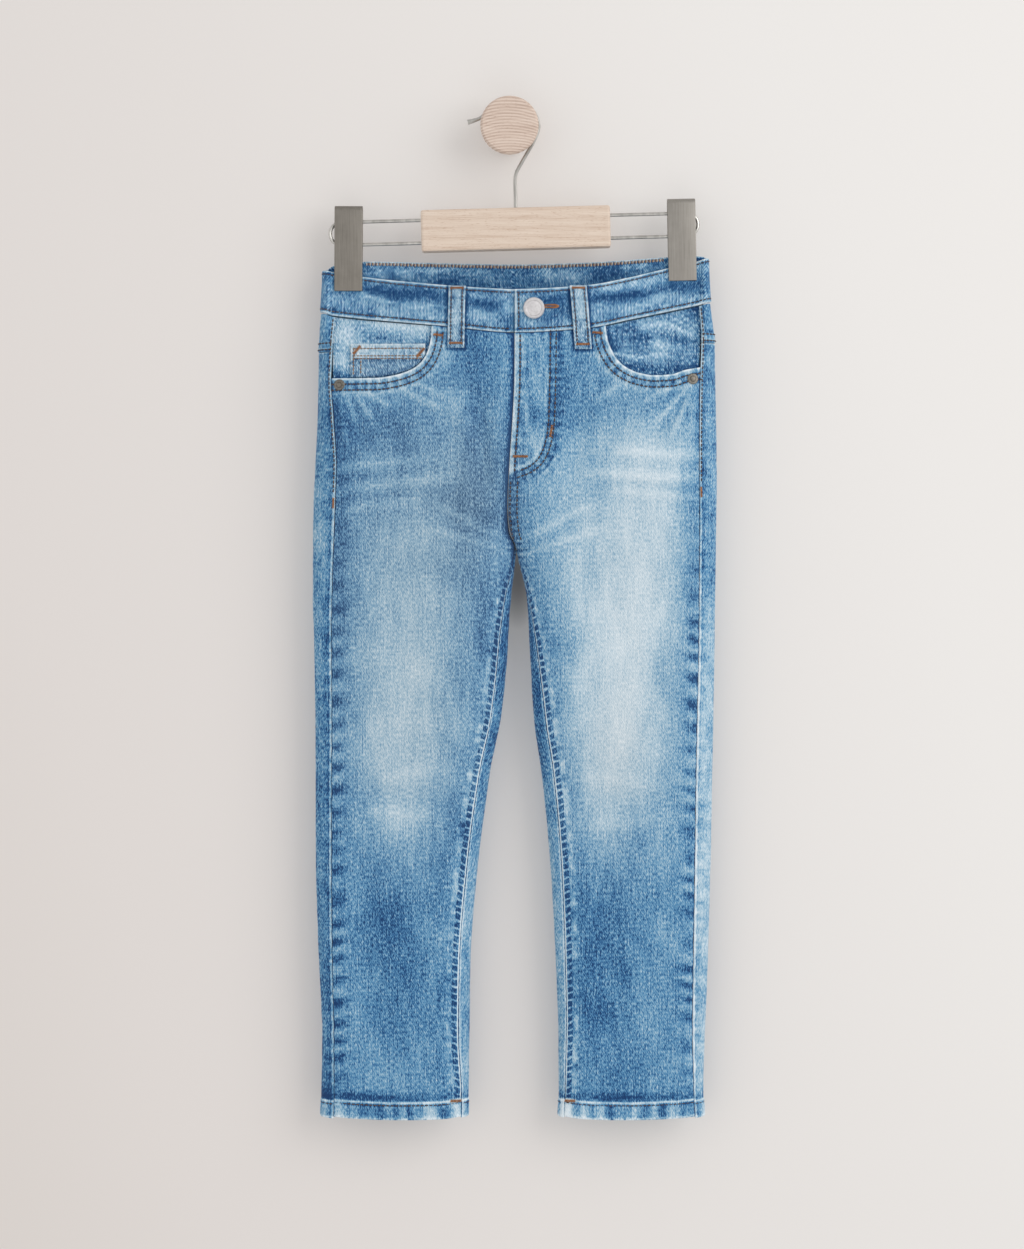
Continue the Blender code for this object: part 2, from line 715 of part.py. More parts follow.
def waistband(colour):
    """One strip from the underlap at the fly, round the waist, to the overlapping end."""
    right_ring = Ring("right", BAND_NOMINAL_DROP)
    stations = [
        ("right", "front", right_ring.arc(across), UNDERLAP_SINK) for across in UNDERLAP_PLACES
    ]
    left_arcs = band_arcs("left")
    right_arcs = band_arcs("right")
    for k, arc in enumerate(reversed(left_arcs)):
        sink = UNDERLAP_SINK * UNDERLAP_RISE[k] if k < len(UNDERLAP_RISE) else 0.0
        stations.append(("left", "front", arc - (UNDERLAP_SHIFT if k == 0 else 0.0), sink))
    for arc in left_arcs[1:-1]:
        stations.append(("left", "back", arc, 0.0))
    for arc in reversed(right_arcs):
        stations.append(("right", "back", arc, 0.0))
    for arc in right_arcs[1:-1]:
        stations.append(("right", "front", arc, 0.0))
    stations.append(("right", "front", right_arcs[-1] - SEAM_GAP, 0.0))
    columns = []
    for half, face, arc, sink in stations:
        across = Ring(half, BAND_NOMINAL_DROP).across(arc)
        top = waist(face + "_top", across)
        low = waist(face + "_bottom", across)
        column = []
        for drop, close in (
            (top, EDGE_CLOSE),
            (top + EDGE_ROW, 0.0),
            ((top + low) / 2, 0.0),
            (low - EDGE_ROW, 0.0),
            (low, EDGE_CLOSE),
        ):
            outer = BAND_OUTER - close - sink
            inner = BAND_INNER + close - sink
            column.append((half, face, band_arc(half, arc, drop), drop, outer, inner))
        columns.append(column)
    return cloth("waistband", list(zip(*columns)), colour)


def pocket_facing(half, colour):
    """The denim that shows inside a pocket scoop, a little below the front panel."""
    scoop = along_line(SCOOPS[half], FACING_COLUMNS)
    side = -1.0 if half == "left" else 1.0
    start = scoop[0][0]
    rows = []
    for k in range(FACING_STEPS + 1):
        share = k / FACING_STEPS
        row = []
        for j, (across, drop) in enumerate(scoop):
            step = j / (FACING_COLUMNS - 1)
            low_across = across - side * FACING_TUCK * step**2
            low_drop = drop + FACING_TUCK * (1.0 - step**2)
            top_across = start + (low_across - start) * step
            top_drop = waist("front_bottom", top_across) + SEAM_GAP
            new_across = top_across + (low_across - top_across) * share
            new_drop = top_drop + (low_drop - top_drop) * share
            if j == FACING_COLUMNS - 1:
                new_drop = max(new_drop, waist("front_bottom", new_across) + SEAM_GAP)
                new_drop += share * FACING_TAIL
            ring = Ring(half, new_drop)
            arc = ring.outseam_arc() + SEAM_GAP if j == 0 else ring.arc(new_across)
            row.append((half, "front", arc, new_drop, FACING_OUTER, FACING_INNER))
        rows.append(row)
    return cloth("pocket_facing_" + half, rows, colour)


def coin_pocket(colour):
    """The small pocket on the left facing, cut off by the scoop's edge."""
    scoop = SCOOPS["left"]
    keys = [pair[0] for pair in scoop]
    drops = [pair[1] for pair in scoop]
    rows = []
    for k in range(COIN_STEPS + 1):
        row = []
        for j in range(COIN_COLUMNS):
            across = COIN_LEFT + (COIN_RIGHT - COIN_LEFT) * j / (COIN_COLUMNS - 1)
            low = float(np.interp(across, keys, drops)) - COIN_RAISE
            drop = COIN_TOP + (low - COIN_TOP) * k / COIN_STEPS
            row.append(place_at("front", across, drop, COIN_OUTER, COIN_INNER))
        rows.append(row)
    return cloth("coin_pocket", rows, colour)


def back_pocket(half, top_from, top_to, bottom_from, bottom_to, top, corner, point, colour):
    """A five-sided patch on a back panel."""
    rows = []
    for k in range(BACK_POCKET_STEPS + 1):
        share = k / BACK_POCKET_STEPS
        row = []
        for j in range(BACK_POCKET_COLUMNS):
            step = j / (BACK_POCKET_COLUMNS - 1)
            top_across = top_from + (top_to - top_from) * step
            low_across = bottom_from + (bottom_to - bottom_from) * step
            low = corner + (point - corner) * (1.0 - abs(2.0 * step - 1.0))
            across = top_across + (low_across - top_across) * share
            drop = top + (low - top) * share
            row.append(place_at("back", across, drop, BACK_POCKET_OUTER, BACK_POCKET_INNER))
        rows.append(row)
    return cloth("back_pocket_" + half, rows, colour)


def belt_loop(name, face, top_across, bottom_across, colour):
    """A strip over the waistband, sewn down on the panel below it."""
    top = waist(face + "_top", top_across)
    low = waist(face + "_bottom", bottom_across)
    rows = []
    for drop, rise in (
        (top, LOOP_OVER_BAND),
        (top + (low - top) / 3, LOOP_OVER_BAND),
        (top + (low - top) * 2 / 3, LOOP_OVER_BAND),
        (low - 1.0, LOOP_OVER_BAND),
        (low + 1.0, LOOP_OVER_BAND),
        (low + 4.5, LOOP_ON_PANEL),
        (low + LOOP_REACH, LOOP_ON_PANEL),
    ):
        share = (drop - top) / (low + LOOP_REACH - top)
        centre = top_across + (bottom_across - top_across) * share
        row = []
        for aside in (-0.5, -0.17, 0.17, 0.5):
            across = centre + aside * LOOP_WIDTH
            row.append(place_at(face, across, drop, rise + LOOP_THICK, rise))
        rows.append(row)
    return cloth(name, rows, colour)


def turned_piece(name, profile, steps, frame, colour, roughness, metal):
    """A solid turned from a profile of radius and height pairs, set on a frame."""
    item = add_object(
        name, [(radius * MM, 0.0, height * MM) for radius, height in profile], [], colour,
        roughness, metal,
    )
    mesh = item.data
    mesh.edges.add(len(profile) - 1)
    for k, edge in enumerate(mesh.edges):
        edge.vertices = (k, k + 1)
    screw = item.modifiers.new("Turn", "SCREW")
    screw.axis = "Z"
    screw.steps = steps
    screw.render_steps = steps
    screw.use_merge_vertices = True
    screw.merge_threshold = 0.00001
    screw.use_normal_calculate = True
    item.matrix_world = frame
    return item


def frame_on_cloth(half, across, drop, rise):
    """A frame on the front with its Z axis pointing out of the cloth."""
    arc = Ring(half, drop).arc(across)
    normal = outward(half, "front", arc, drop)
    turn = normal.to_track_quat("Z", "Y").to_matrix().to_4x4()
    return Matrix.Translation(raised(half, "front", arc, drop, rise)) @ turn


def button():
    """A shank button: a rimmed disc on a short post."""
    radius = BUTTON_RADIUS
    profile = (
        (0.0, 0.0), (3.4, 0.0), (3.4, 0.7), (radius - 0.6, 0.7), (radius, 1.2), (radius, 2.2),
        (radius - 0.7, 2.8), (radius - 1.7, 2.8), (radius - 2.4, 2.2), (0.0, 2.5),
    )
    frame = frame_on_cloth("right", *BUTTON_PLACE, BAND_OUTER + BUTTON_GAP)
    turned_piece("button", profile, 32, frame, (0.42, 0.42, 0.43), 0.35, 1.0)


def rivet(name, half, across, drop):
    """A small domed rivet."""
    radius = RIVET_RADIUS
    profile = (
        (0.0, 0.0), (radius - 0.3, 0.0), (radius, 0.4), (radius - 0.5, 0.9), (2.2, 1.0),
        (1.7, 1.7), (0.0, 1.9),
    )
    frame = frame_on_cloth(half, across, drop, RIVET_GAP)
    turned_piece(name, profile, 20, frame, (0.12, 0.1, 0.08), 0.4, 1.0)


def wall_knob():
    """A turned knob: a body that widens from the wall to a front lip."""
    profile = (
        (0.0, 0.0), (15.2, 0.0), (16.0, 0.8), (17.2, 10.0), (18.2, 20.0), (18.3, 28.0),
        (19.6, 29.6), (20.6, 31.0), (21.0, 32.6), (21.0, 35.6), (20.5, 37.0), (19.4, 38.0),
        (0.0, 38.4),
    )
    frame = Matrix.Rotation(math.pi / 2, 4, "X")
    turned_piece("wall_knob", profile, KNOB_TURN_STEPS, frame, (0.62, 0.5, 0.4), 0.6, 0.0)


def hanger_frame():
    """The hanger's own frame, with its bar along X, tilted a little in the photographed pose."""
    place = Matrix.Translation((HANGER_MIDDLE[0] * MM, MIDDLE_PLANE * MM, HANGER_MIDDLE[1] * MM))
    return place @ Matrix.Rotation(-HANGER_TILT, 4, "Y")


def hanger_bar():
    """The flat wooden bar."""
    bpy.ops.mesh.primitive_cube_add(size=1.0)
    item = bpy.context.active_object
    item.name = "hanger_bar"
    for link in list(item.users_collection):
        link.objects.unlink(item)
    size = Matrix.Diagonal((BAR_LENGTH * MM, BAR_THICK * MM, BAR_HEIGHT * MM, 1.0))
    item.data.transform(hanger_frame() @ size)
    item.matrix_world = Matrix.Identity(4)
    finish_object(item, (0.6, 0.47, 0.33), 0.55, 0.0)
    bevel = item.modifiers.new("Edges", "BEVEL")
    bevel.width = BAR_EDGE * MM
    bevel.segments = 2


def wire(name, points, swell):
    """A round wire along points in metres, with its radius scaled at the last points."""
    curve = bpy.data.curves.new(name, "CURVE")
    curve.dimensions = "3D"
    curve.bevel_depth = WIRE_RADIUS * MM
    curve.bevel_resolution = 3
    curve.use_fill_caps = True
    line = curve.splines.new("POLY")
    line.points.add(len(points) - 1)
    for k, point in enumerate(points):
        line.points[k].co = (*point, 1.0)
    for k, scale in enumerate(reversed(swell)):
        line.points[len(points) - 1 - k].radius = scale
    item = bpy.data.objects.new(name, curve)
    return finish_object(item, (0.62, 0.62, 0.61), 0.32, 1.0)


def rod(name, side, reach):
    """A rod that leaves the bar, turns round at its end and comes back to the bar."""
    frame = hanger_frame()
    start = BAR_LENGTH / 2 + SEAM_GAP
    bend = reach - ROD_HALF_SPACING
    points = [(side * start, ROD_HALF_SPACING)]
    for k in range(ROD_TURN_STEPS + 1):
        angle = math.pi / 2 - math.pi * k / ROD_TURN_STEPS
        points.append((
            side * (bend + ROD_HALF_SPACING * math.cos(angle)),
            ROD_HALF_SPACING * math.sin(angle),
        ))
    points.append((side * start, -ROD_HALF_SPACING))
    wire(name, [frame @ Vector((x * MM, 0.0, z * MM)) for x, z in points], ())


def hanger_hook():
    """The hook: a shank that bends round the knob and flares out at its tip."""
    bar_top = HANGER_MIDDLE[1] + BAR_HEIGHT / 2
    line = [(SHANK[0][0], bar_top + SHANK_START), *SHANK]
    for k in range(HOOK_STEPS + 1):
        angle = math.radians(
            HOOK_RISE_ANGLE + (HOOK_LEAVE_ANGLE - HOOK_RISE_ANGLE) * k / HOOK_STEPS
        )
        line.append((
            HOOK_CENTRE[0] + HOOK_RADIUS * math.cos(angle),
            HOOK_CENTRE[1] + HOOK_RADIUS * math.sin(angle),
        ))
    line += HOOK_TIP
    points = [Vector((x * MM, MIDDLE_PLANE * MM, z * MM)) for x, z in line]
    wire("hanger_hook", points, TIP_SWELL)


def clip(name, bottom_across, bottom_drop, height, lean):
    """A folded steel clip: a front and a back plate joined by a rolled top."""
    centre = CLIP_HALF_INSIDE + CLIP_PLATE / 2
    straight = height - centre - CLIP_PLATE / 2
    line = [(-centre, 0.0), (-centre, CLIP_BEND), (-centre, straight)]
    for k in range(1, CLIP_TURN_STEPS):
        angle = math.pi - math.pi * k / CLIP_TURN_STEPS
        line.append((centre * math.cos(angle), straight + centre * math.sin(angle)))
    line += [(centre, straight), (centre, CLIP_BEND), (centre, 0.0)]
    points = []
    for across in (-CLIP_WIDTH / 2, CLIP_WIDTH / 2):
        points += [Vector((across * MM, y * MM, z * MM)) for y, z in line]
    count = len(line)
    faces = [(k, k + count, k + 1 + count, k + 1) for k in range(count - 1)]
    item = add_object(name, points, faces, (0.27, 0.27, 0.25), 0.38, 1.0)
    turn = Matrix.Rotation(math.radians(lean), 4, "Y")
    place = Matrix.Translation((bottom_across * MM, MIDDLE_PLANE * MM, -bottom_drop * MM))
    item.data.transform(place @ turn)
    wall = item.modifiers.new("Plate", "SOLIDIFY")
    wall.thickness = CLIP_PLATE * MM
    wall.offset = 0.0
    wall.use_even_offset = True


def build():
    """Make every piece."""
    denim = (0.14, 0.25, 0.4)
    pale = (0.3, 0.43, 0.56)
    dark = (0.09, 0.18, 0.31)
    clear_scene()
    for half in ("left", "right"):
        front_panel(half, pale)
        back_panel(half, denim)
        yoke(half, denim)
        pocket_facing(half, pale)
    coin_pocket(pale)
    waistband(denim)
    for row in BACK_POCKETS:
        back_pocket(*row, dark)
    for row in LOOPS:
        belt_loop(*row, dark)
    button()
    for row in RIVETS:
        rivet(*row)
    wall_knob()
    hanger_bar()
    for row in RODS:
        rod(*row)
    hanger_hook()
    for row in CLIPS:
        clip(*row)


build()
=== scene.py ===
import json
import math

import bmesh
import bpy
import numpy as np
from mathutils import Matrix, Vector

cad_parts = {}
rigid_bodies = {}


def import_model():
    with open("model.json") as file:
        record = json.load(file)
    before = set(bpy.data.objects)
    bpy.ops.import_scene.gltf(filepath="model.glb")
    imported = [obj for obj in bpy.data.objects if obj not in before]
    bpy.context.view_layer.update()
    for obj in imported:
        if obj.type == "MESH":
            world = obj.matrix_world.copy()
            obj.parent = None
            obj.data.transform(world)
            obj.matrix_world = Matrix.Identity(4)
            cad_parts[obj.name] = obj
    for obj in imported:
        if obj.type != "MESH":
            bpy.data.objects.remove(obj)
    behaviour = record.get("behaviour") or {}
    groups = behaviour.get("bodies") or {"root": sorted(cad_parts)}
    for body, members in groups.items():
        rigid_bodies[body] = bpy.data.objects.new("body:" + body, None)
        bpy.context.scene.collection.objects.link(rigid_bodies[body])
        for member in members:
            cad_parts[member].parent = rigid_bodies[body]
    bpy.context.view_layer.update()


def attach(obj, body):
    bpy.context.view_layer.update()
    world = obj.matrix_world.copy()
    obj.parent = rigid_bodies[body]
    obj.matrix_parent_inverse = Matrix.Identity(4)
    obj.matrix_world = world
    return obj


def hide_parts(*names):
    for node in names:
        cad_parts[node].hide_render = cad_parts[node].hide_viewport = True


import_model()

# ---------------------------------------------------------------------------------------------
# The trousers' form, as in the construction source. Tables are in millimetres. "drop" is the
# distance below the knob's centre and "across" is X, with left at -X. An arc length runs over a
# face from the outer fold, and past an end it turns onto the other face.
# ---------------------------------------------------------------------------------------------
MM = 0.001
HALF_GAP = 0.15
CLOTH_WALL = 1.2
MIDDLE_PLANE = -24.0
CROTCH_DROP = 304.0
GRIP_END_DROP = 118.0
HIP_DROP = 185.0
LEVEL_START = 204.0
MIDDLE_TOP_DROP = 149.0
HALVES = ("left", "right")

# Where the search for the drop of an edge starts.
FIRST_GUESS_DROP = 150.0

# A distance from a seam or an edge at which it changes nothing.
FAR_AWAY = 90.0

SECTION_COLUMNS = (
    "drop", "outer_left", "inner_left", "inner_right", "outer_right",
    "outseam_left", "inseam_left", "inseam_right", "outseam_right",
    "front_depth", "back_depth", "outer_round", "inner_round", "middle_share",
)
SECTIONS = (
    (90, -134.0, 3.6, 3.6, 142.8, 10.9, 0, 0, 8.0, 13.0, 10.0, 5.0, 30, 1.0),
    (125, -135.3, 3.6, 3.6, 144.6, 10.9, 0, 0, 8.3, 13.0, 10.0, 5.5, 30, 1.0),
    (157, -137.5, 3.6, 3.6, 148.1, 10.5, 0, 0, 10.2, 13.0, 10.5, 12, 30, 1.0),
    (183, -137.8, 3.4, 3.4, 148.4, 9.6, 0, 0, 11.5, 13.8, 11.5, 20, 30, 1.0),
    (212, -138.6, 2.0, 2.0, 149.0, 12.1, 0, 0, 12.4, 15.2, 13.2, 28, 30, 1.0),
    (249, -140.4, -0.4, -0.4, 149.4, 15.9, 0, 0, 12.9, 16.0, 14.5, 34, 32, 0.90),
    (275, -141.5, -1.2, -1.2, 149.3, 16.1, 0, 0, 12.5, 16.0, 14.6, 36, 34, 0.56),
    (292, -141.8, 0.2, 0.2, 149.2, 15.7, 0, 0, 12.4, 15.6, 14.4, 36, 34, 0.24),
    (304, -141.8, 4.7, 4.7, 149.0, 15.2, 0, 0, 12.3, 15.2, 14.0, 36, 34, 0.12),
    (312, -141.9, 3.9, 6.5, 148.9, 14.9, 0.4, 0.3, 12.2, 15.0, 13.7, 36, 34, 0),
    (341, -141.9, 0.8, 12.6, 148.4, 14.1, 4.0, 1.6, 11.9, 14.2, 12.8, 36, 34, 0),
    (377, -141.0, -1.2, 14.6, 147.9, 12.8, 6.8, 5.2, 11.7, 13.2, 11.8, 35, 33, 0),
    (425, -140.2, -6.0, 17.6, 147.2, 12.3, 7.4, 8.2, 12.1, 12.2, 10.8, 33, 31, 0),
    (466, -140.0, -14.2, 23.2, 146.3, 11.9, 7.6, 8.7, 12.0, 11.4, 10.0, 31, 29, 0),
    (528, -139.8, -22.4, 29.2, 145.2, 11.6, 7.8, 8.2, 11.7, 10.6, 9.3, 29, 27, 0),
    (605, -137.4, -28.4, 33.6, 143.0, 9.8, 8.0, 6.9, 10.7, 9.7, 8.6, 26, 25, 0),
    (656, -135.2, -29.2, 35.5, 141.0, 8.6, 7.6, 5.6, 9.2, 9.2, 8.2, 24, 23, 0),
    (695, -135.9, -29.4, 35.6, 139.9, 9.5, 5.3, 4.5, 7.1, 9.2, 8.2, 23, 22, 0),
    (720, -136.3, -30.0, 34.9, 141.0, 9.7, 5.0, 4.2, 7.0, 9.6, 8.6, 22, 21, 0),
)
WAIST_COLUMNS = (
    "across", "front_top", "front_bottom", "back_top", "back_bottom", "front_stand", "back_stand",
)
WAIST = (
    (-150.0, 103.6, 133.8, 103.6, 133.8, 4.4, 4.4),
    (-134.0, 103.8, 134.0, 103.4, 133.8, 4.4, 4.4),
    (-131.0, 104.2, 134.9, 102.0, 133.5, 4.4, 4.4),
    (-128.4, 104.7, 136.0, 100.6, 133.0, 2.6, 2.6),
    (-126.4, 105.0, 136.3, 99.6, 132.8, 1.8, 1.8),
    (-104.0, 108.4, 138.8, 97.0, 130.7, 1.8, 1.8),
    (-97.0, 109.4, 139.5, 96.8, 130.3, 2.7, 2.5),
    (-80.0, 111.5, 141.2, 97.0, 130.3, 5.6, 4.4),
    (-43.0, 115.2, 144.8, 97.6, 130.8, 10.3, 7.4),
    (3.6, 118.1, 149.2, 98.2, 131.4, 13.6, 9.2),
    (56.0, 114.9, 145.9, 97.0, 130.2, 10.3, 7.4),
    (88.0, 108.6, 139.2, 95.4, 128.8, 5.6, 4.4),
    (106.0, 104.0, 135.2, 94.2, 127.6, 2.7, 2.5),
    (112.5, 102.4, 133.7, 93.8, 127.2, 1.8, 1.8),
    (136.2, 96.9, 128.6, 93.0, 126.7, 1.8, 1.8),
    (138.5, 96.2, 128.0, 93.2, 126.6, 2.6, 2.6),
    (141.5, 95.4, 127.2, 93.6, 126.5, 4.4, 4.4),
    (144.0, 94.6, 126.5, 94.6, 126.4, 4.4, 4.4),
    (160.0, 94.6, 126.4, 94.6, 126.4, 4.4, 4.4),
)
YOKE_SEAM = (
    (-150.0, 163.0), (-125.0, 163.0), (-60.0, 168.5), (3.6, 176.0), (70.0, 166.5),
    (136.0, 156.5), (160.0, 156.0),
)
SCOOPS = {
    "left": (
        (-128.2, 182.2), (-117.7, 182.2), (-95.7, 181.9), (-82.0, 179.8), (-73.0, 177.0),
        (-66.0, 172.9), (-61.0, 167.0), (-58.0, 159.8), (-56.3, 150.5), (-56.0, 143.6),
    ),
    "right": (
        (137.0, 174.2), (126.0, 176.2), (116.0, 179.4), (103.5, 180.0), (93.0, 178.3),
        (84.0, 174.4), (77.5, 168.6), (72.8, 160.5), (70.0, 151.5), (69.0, 143.3),
    ),
}

# The soft folds of each face: from across and drop, to across and drop, width and rise.
FOLDS = {
    "front": (
        (-22, 196, -19, 262, 7, -2.6), (-32, 205, -29, 262, 6, 1.0), (52, 200, 44, 256, 8, -1.2),
        (-116, 198, -106, 226, 6, -1.4), (-76, 198, -40, 216, 7, -1.2),
        (126, 196, 100, 224, 7, -1.4), (-12, 292, -96, 262, 9, -1.3), (14, 292, 96, 258, 9, -1.3),
        (-14, 312, -86, 300, 9, 0.9), (22, 314, 92, 300, 9, 0.9), (-96, 344, -88, 470, 13, 1.1),
        (98, 344, 90, 470, 13, 1.1), (-40, 486, -122, 478, 10, -1.0),
        (44, 480, 126, 490, 10, -1.0), (-112, 520, -96, 650, 12, -0.9),
        (62, 520, 74, 650, 12, -0.9),
    ),
    "back": (
        (-14, 288, -104, 318, 10, -1.4), (20, 288, 110, 318, 10, -1.4),
        (-20, 316, -100, 346, 10, 0.9), (30, 316, 104, 346, 10, 0.9),
        (-46, 470, -120, 482, 11, -1.0), (50, 476, 124, 468, 11, -1.0),
        (-58, 520, -70, 650, 12, -0.8), (104, 520, 92, 650, 12, -0.8),
    ),
}
HEM_BOTTOM = 713.0
HEM_BOW = 2.4
HEM_BOW_START = 640.0


def smooth_step(share):
    """0 below zero, 1 above one, and a soft rise between."""
    share = np.clip(share, 0.0, 1.0)
    return share * share * (3.0 - 2.0 * share)


def unit(vectors):
    """Vectors brought to the length 1."""
    return vectors / np.linalg.norm(vectors, axis=-1, keepdims=True)


def lengths_along(points):
    """The length from the first of a row of points to each of them."""
    steps = np.linalg.norm(np.diff(points, axis=0), axis=1)
    return np.concatenate([[0.0], np.cumsum(steps)])


def side_of(half):
    """-1 for the left half and 1 for the right one."""
    return -1.0 if half == "left" else 1.0


def dense_curve(keys, values, step=0.5):
    """Sample a smooth curve through the values that never overshoots them."""
    keys = np.asarray(keys, float)
    values = np.asarray(values, float)
    rates = np.diff(values) / np.diff(keys)
    slopes = [rates[0]]
    for before, after in zip(rates, rates[1:]):
        slopes.append(0.0 if before * after <= 0 else 2 * before * after / (before + after))
    slopes.append(rates[-1])
    dense_keys = []
    dense_values = []
    for i, length in enumerate(np.diff(keys)):
        t = np.arange(0.0, 1.0, min(1.0, step / length))
        flat = 2 * t**3 - 3 * t**2 + 1
        bend = (t**3 - 2 * t**2 + t) * slopes[i] + (t**3 - t**2) * slopes[i + 1]
        dense_keys.append(keys[i] + t * length)
        dense_values.append(flat * values[i] + (1 - flat) * values[i + 1] + length * bend)
    dense_keys.append([keys[-1]])
    dense_values.append([values[-1]])
    return np.concatenate(dense_keys), np.concatenate(dense_values)


def table_curves(columns, rows):
    """A dense curve for every column of a table, over its first column."""
    return {
        name: dense_curve([row[0] for row in rows], [row[i] for row in rows])
        for i, name in enumerate(columns) if i
    }


SECTION_CURVES = table_curves(SECTION_COLUMNS, SECTIONS)
WAIST_CURVES = table_curves(WAIST_COLUMNS, WAIST)
YOKE_CURVE = dense_curve([row[0] for row in YOKE_SEAM], [row[1] for row in YOKE_SEAM])


def section(name, drop):
    """Values of the section table."""
    return np.interp(drop, *SECTION_CURVES[name])


def waist(name, across):
    """Values of the waist table."""
    return np.interp(across, *WAIST_CURVES[name])


def face_waist(name, front, across):
    """Values of the waist table for the face that is met."""
    return np.where(front, waist("front_" + name, across), waist("back_" + name, across))


def yoke_seam_drop(across):
    """The drop of the yoke seam."""
    return np.interp(across, *YOKE_CURVE)


def line_relief(rows, front, across, drop):
    """The sum of soft ridges and troughs along the lines of the face that is met."""
    total = np.zeros(np.shape(across))
    for face, lines in rows.items():
        for x1, d1, x2, d2, width, rise in lines:
            length = math.hypot(x2 - x1, d2 - d1)
            reach = ((across - x1) * (x2 - x1) + (drop - d1) * (d2 - d1)) / length**2
            aside = ((across - x1) * (d2 - d1) - (drop - d1) * (x2 - x1)) / length
            fade = smooth_step((reach + 0.2) / 0.4) * smooth_step((1.2 - reach) / 0.4)
            total += rise * fade * np.exp(-((aside / width) ** 2)) * (front == (face == "front"))
    return total


class Ring:
    """Cross-sections of one half: a hip half above the crotch, or a whole leg below it."""

    def __init__(self, half, drop):
        self.half = half
        self.side = side_of(half)
        self.drop = np.asarray(drop, float)
        self.closed = self.drop > CROTCH_DROP
        self.outer = section("outer_" + half, self.drop)
        self.inner = section("inner_" + half, self.drop)
        self.outer_round = section("outer_round", self.drop)
        self.inner_round = section("inner_round", self.drop)
        self.width = np.abs(self.outer - self.inner)
        self.outer_quarter = self.outer_round * math.pi / 2
        self.inner_quarter = self.inner_round * math.pi / 2
        self.total = self.outer_quarter + self.width - self.outer_round
        self.total = self.total + self.closed * (self.inner_quarter - self.inner_round)
        self.inner_start = self.total - np.where(self.closed, self.inner_quarter, self.inner_round)

    def across(self, arc):
        """Places across at arc lengths between the two ends of a face."""
        turned = np.clip(arc / self.outer_round, 0.0, math.pi / 2)
        near = self.outer_round * (1.0 - np.cos(turned))
        turned = np.clip((self.total - arc) / self.inner_round, 0.0, math.pi / 2)
        far = self.width - self.inner_round * (1.0 - np.cos(turned))
        inset = np.where(arc < self.outer_quarter, near, self.outer_round + arc - self.outer_quarter)
        inset = np.where(self.closed & (arc > self.total - self.inner_quarter), far, inset)
        return self.outer - self.side * inset

    def arc(self, across):
        """Arc lengths at places across."""
        inset = np.clip((self.outer - across) * self.side, 0.0, self.width)
        near = self.outer_round * np.arccos(np.clip(1.0 - inset / self.outer_round, -1.0, 1.0))
        rest = np.clip(1.0 - (self.width - inset) / self.inner_round, -1.0, 1.0)
        far = self.total - self.inner_round * np.arccos(rest)
        arc = np.where(inset < self.outer_round, near, self.outer_quarter + inset - self.outer_round)
        return np.where(self.closed & (inset > self.width - self.inner_round), far, arc)

    def outseam_arc(self):
        """Arc length of the outseam, on the front."""
        return self.arc(self.outer - self.side * section("outseam_" + self.half, self.drop))

    def inseam_rest(self):
        """Arc length from the inner fold back to the inseam, on the front."""
        reach = section("inseam_" + self.half, self.drop)
        return np.where(self.closed, self.total - self.arc(self.inner + self.side * reach), 0.0)

    def stand(self, front, across):
        """How far the cloth stands from the middle plane."""
        from_outer = np.minimum(np.abs(across - self.outer) / self.outer_round, 1.0)
        from_inner = np.minimum(np.abs(across - self.inner) / self.inner_round, 1.0)
        edge = np.sqrt(np.maximum(1.0 - (1.0 - from_outer) ** 2, 0.0))
        bulge = np.maximum(1.0 - (1.0 - from_inner) ** 2, 0.0)
        share = section("middle_share", self.drop)
        softness = np.where(self.closed, 0.5, 0.5 + 0.4 * np.minimum(1.0, 2.0 * share))
        share = np.where(self.closed, 0.0, share)
        middle = share + (1.0 - share) * bulge**softness
        depth = np.where(front, section("front_depth", self.drop), section("back_depth", self.drop))
        grip = face_waist("stand", front, across)
        opened = smooth_step((self.drop - GRIP_END_DROP) / (HIP_DROP - GRIP_END_DROP))
        folds = line_relief(FOLDS, front, across, self.drop) * middle
        return edge * (grip * (1.0 - opened) + depth * middle * opened + folds)


def settle(half, face, arc, drop):
    """The ring, the face that is really met, and the place across of an arc length."""
    ring = Ring(half, drop)
    before = arc < 0.0
    past = ring.closed & (arc > ring.total)
    inside = np.where(before, -arc, np.where(past, 2.0 * ring.total - arc, arc))
    front = np.logical_xor(np.full(np.shape(arc), face == "front"), before | past)
    return ring, front, ring.across(inside)


def form(half, face, arc, drop):
    """Points of the form, in millimetres."""
    ring, front, across = settle(half, face, arc, drop)
    stand = ring.stand(front, across)
    return np.stack([across, MIDDLE_PLANE + np.where(front, -stand, stand), -ring.drop], -1)


def outward(half, face, arc, drop):
    """Unit directions that point out of the form."""
    reach = 0.2
    along = form(half, face, arc + reach, drop) - form(half, face, arc - reach, drop)
    step = np.where(drop > CROTCH_DROP, reach, -reach)
    down = (form(half, face, arc, drop + step) - form(half, face, arc, drop)) * np.sign(step)[..., None]
    flip = -1.0 if (half == "left") != (face == "back") else 1.0
    return unit(np.cross(along, down)) * flip


def raised(half, face, arc, drop, rise):
    """Points that stand off the form by a rise, in metres."""
    base = form(half, face, arc, drop)
    return (base + outward(half, face, arc, drop) * np.asarray(rise)[..., None]) * MM


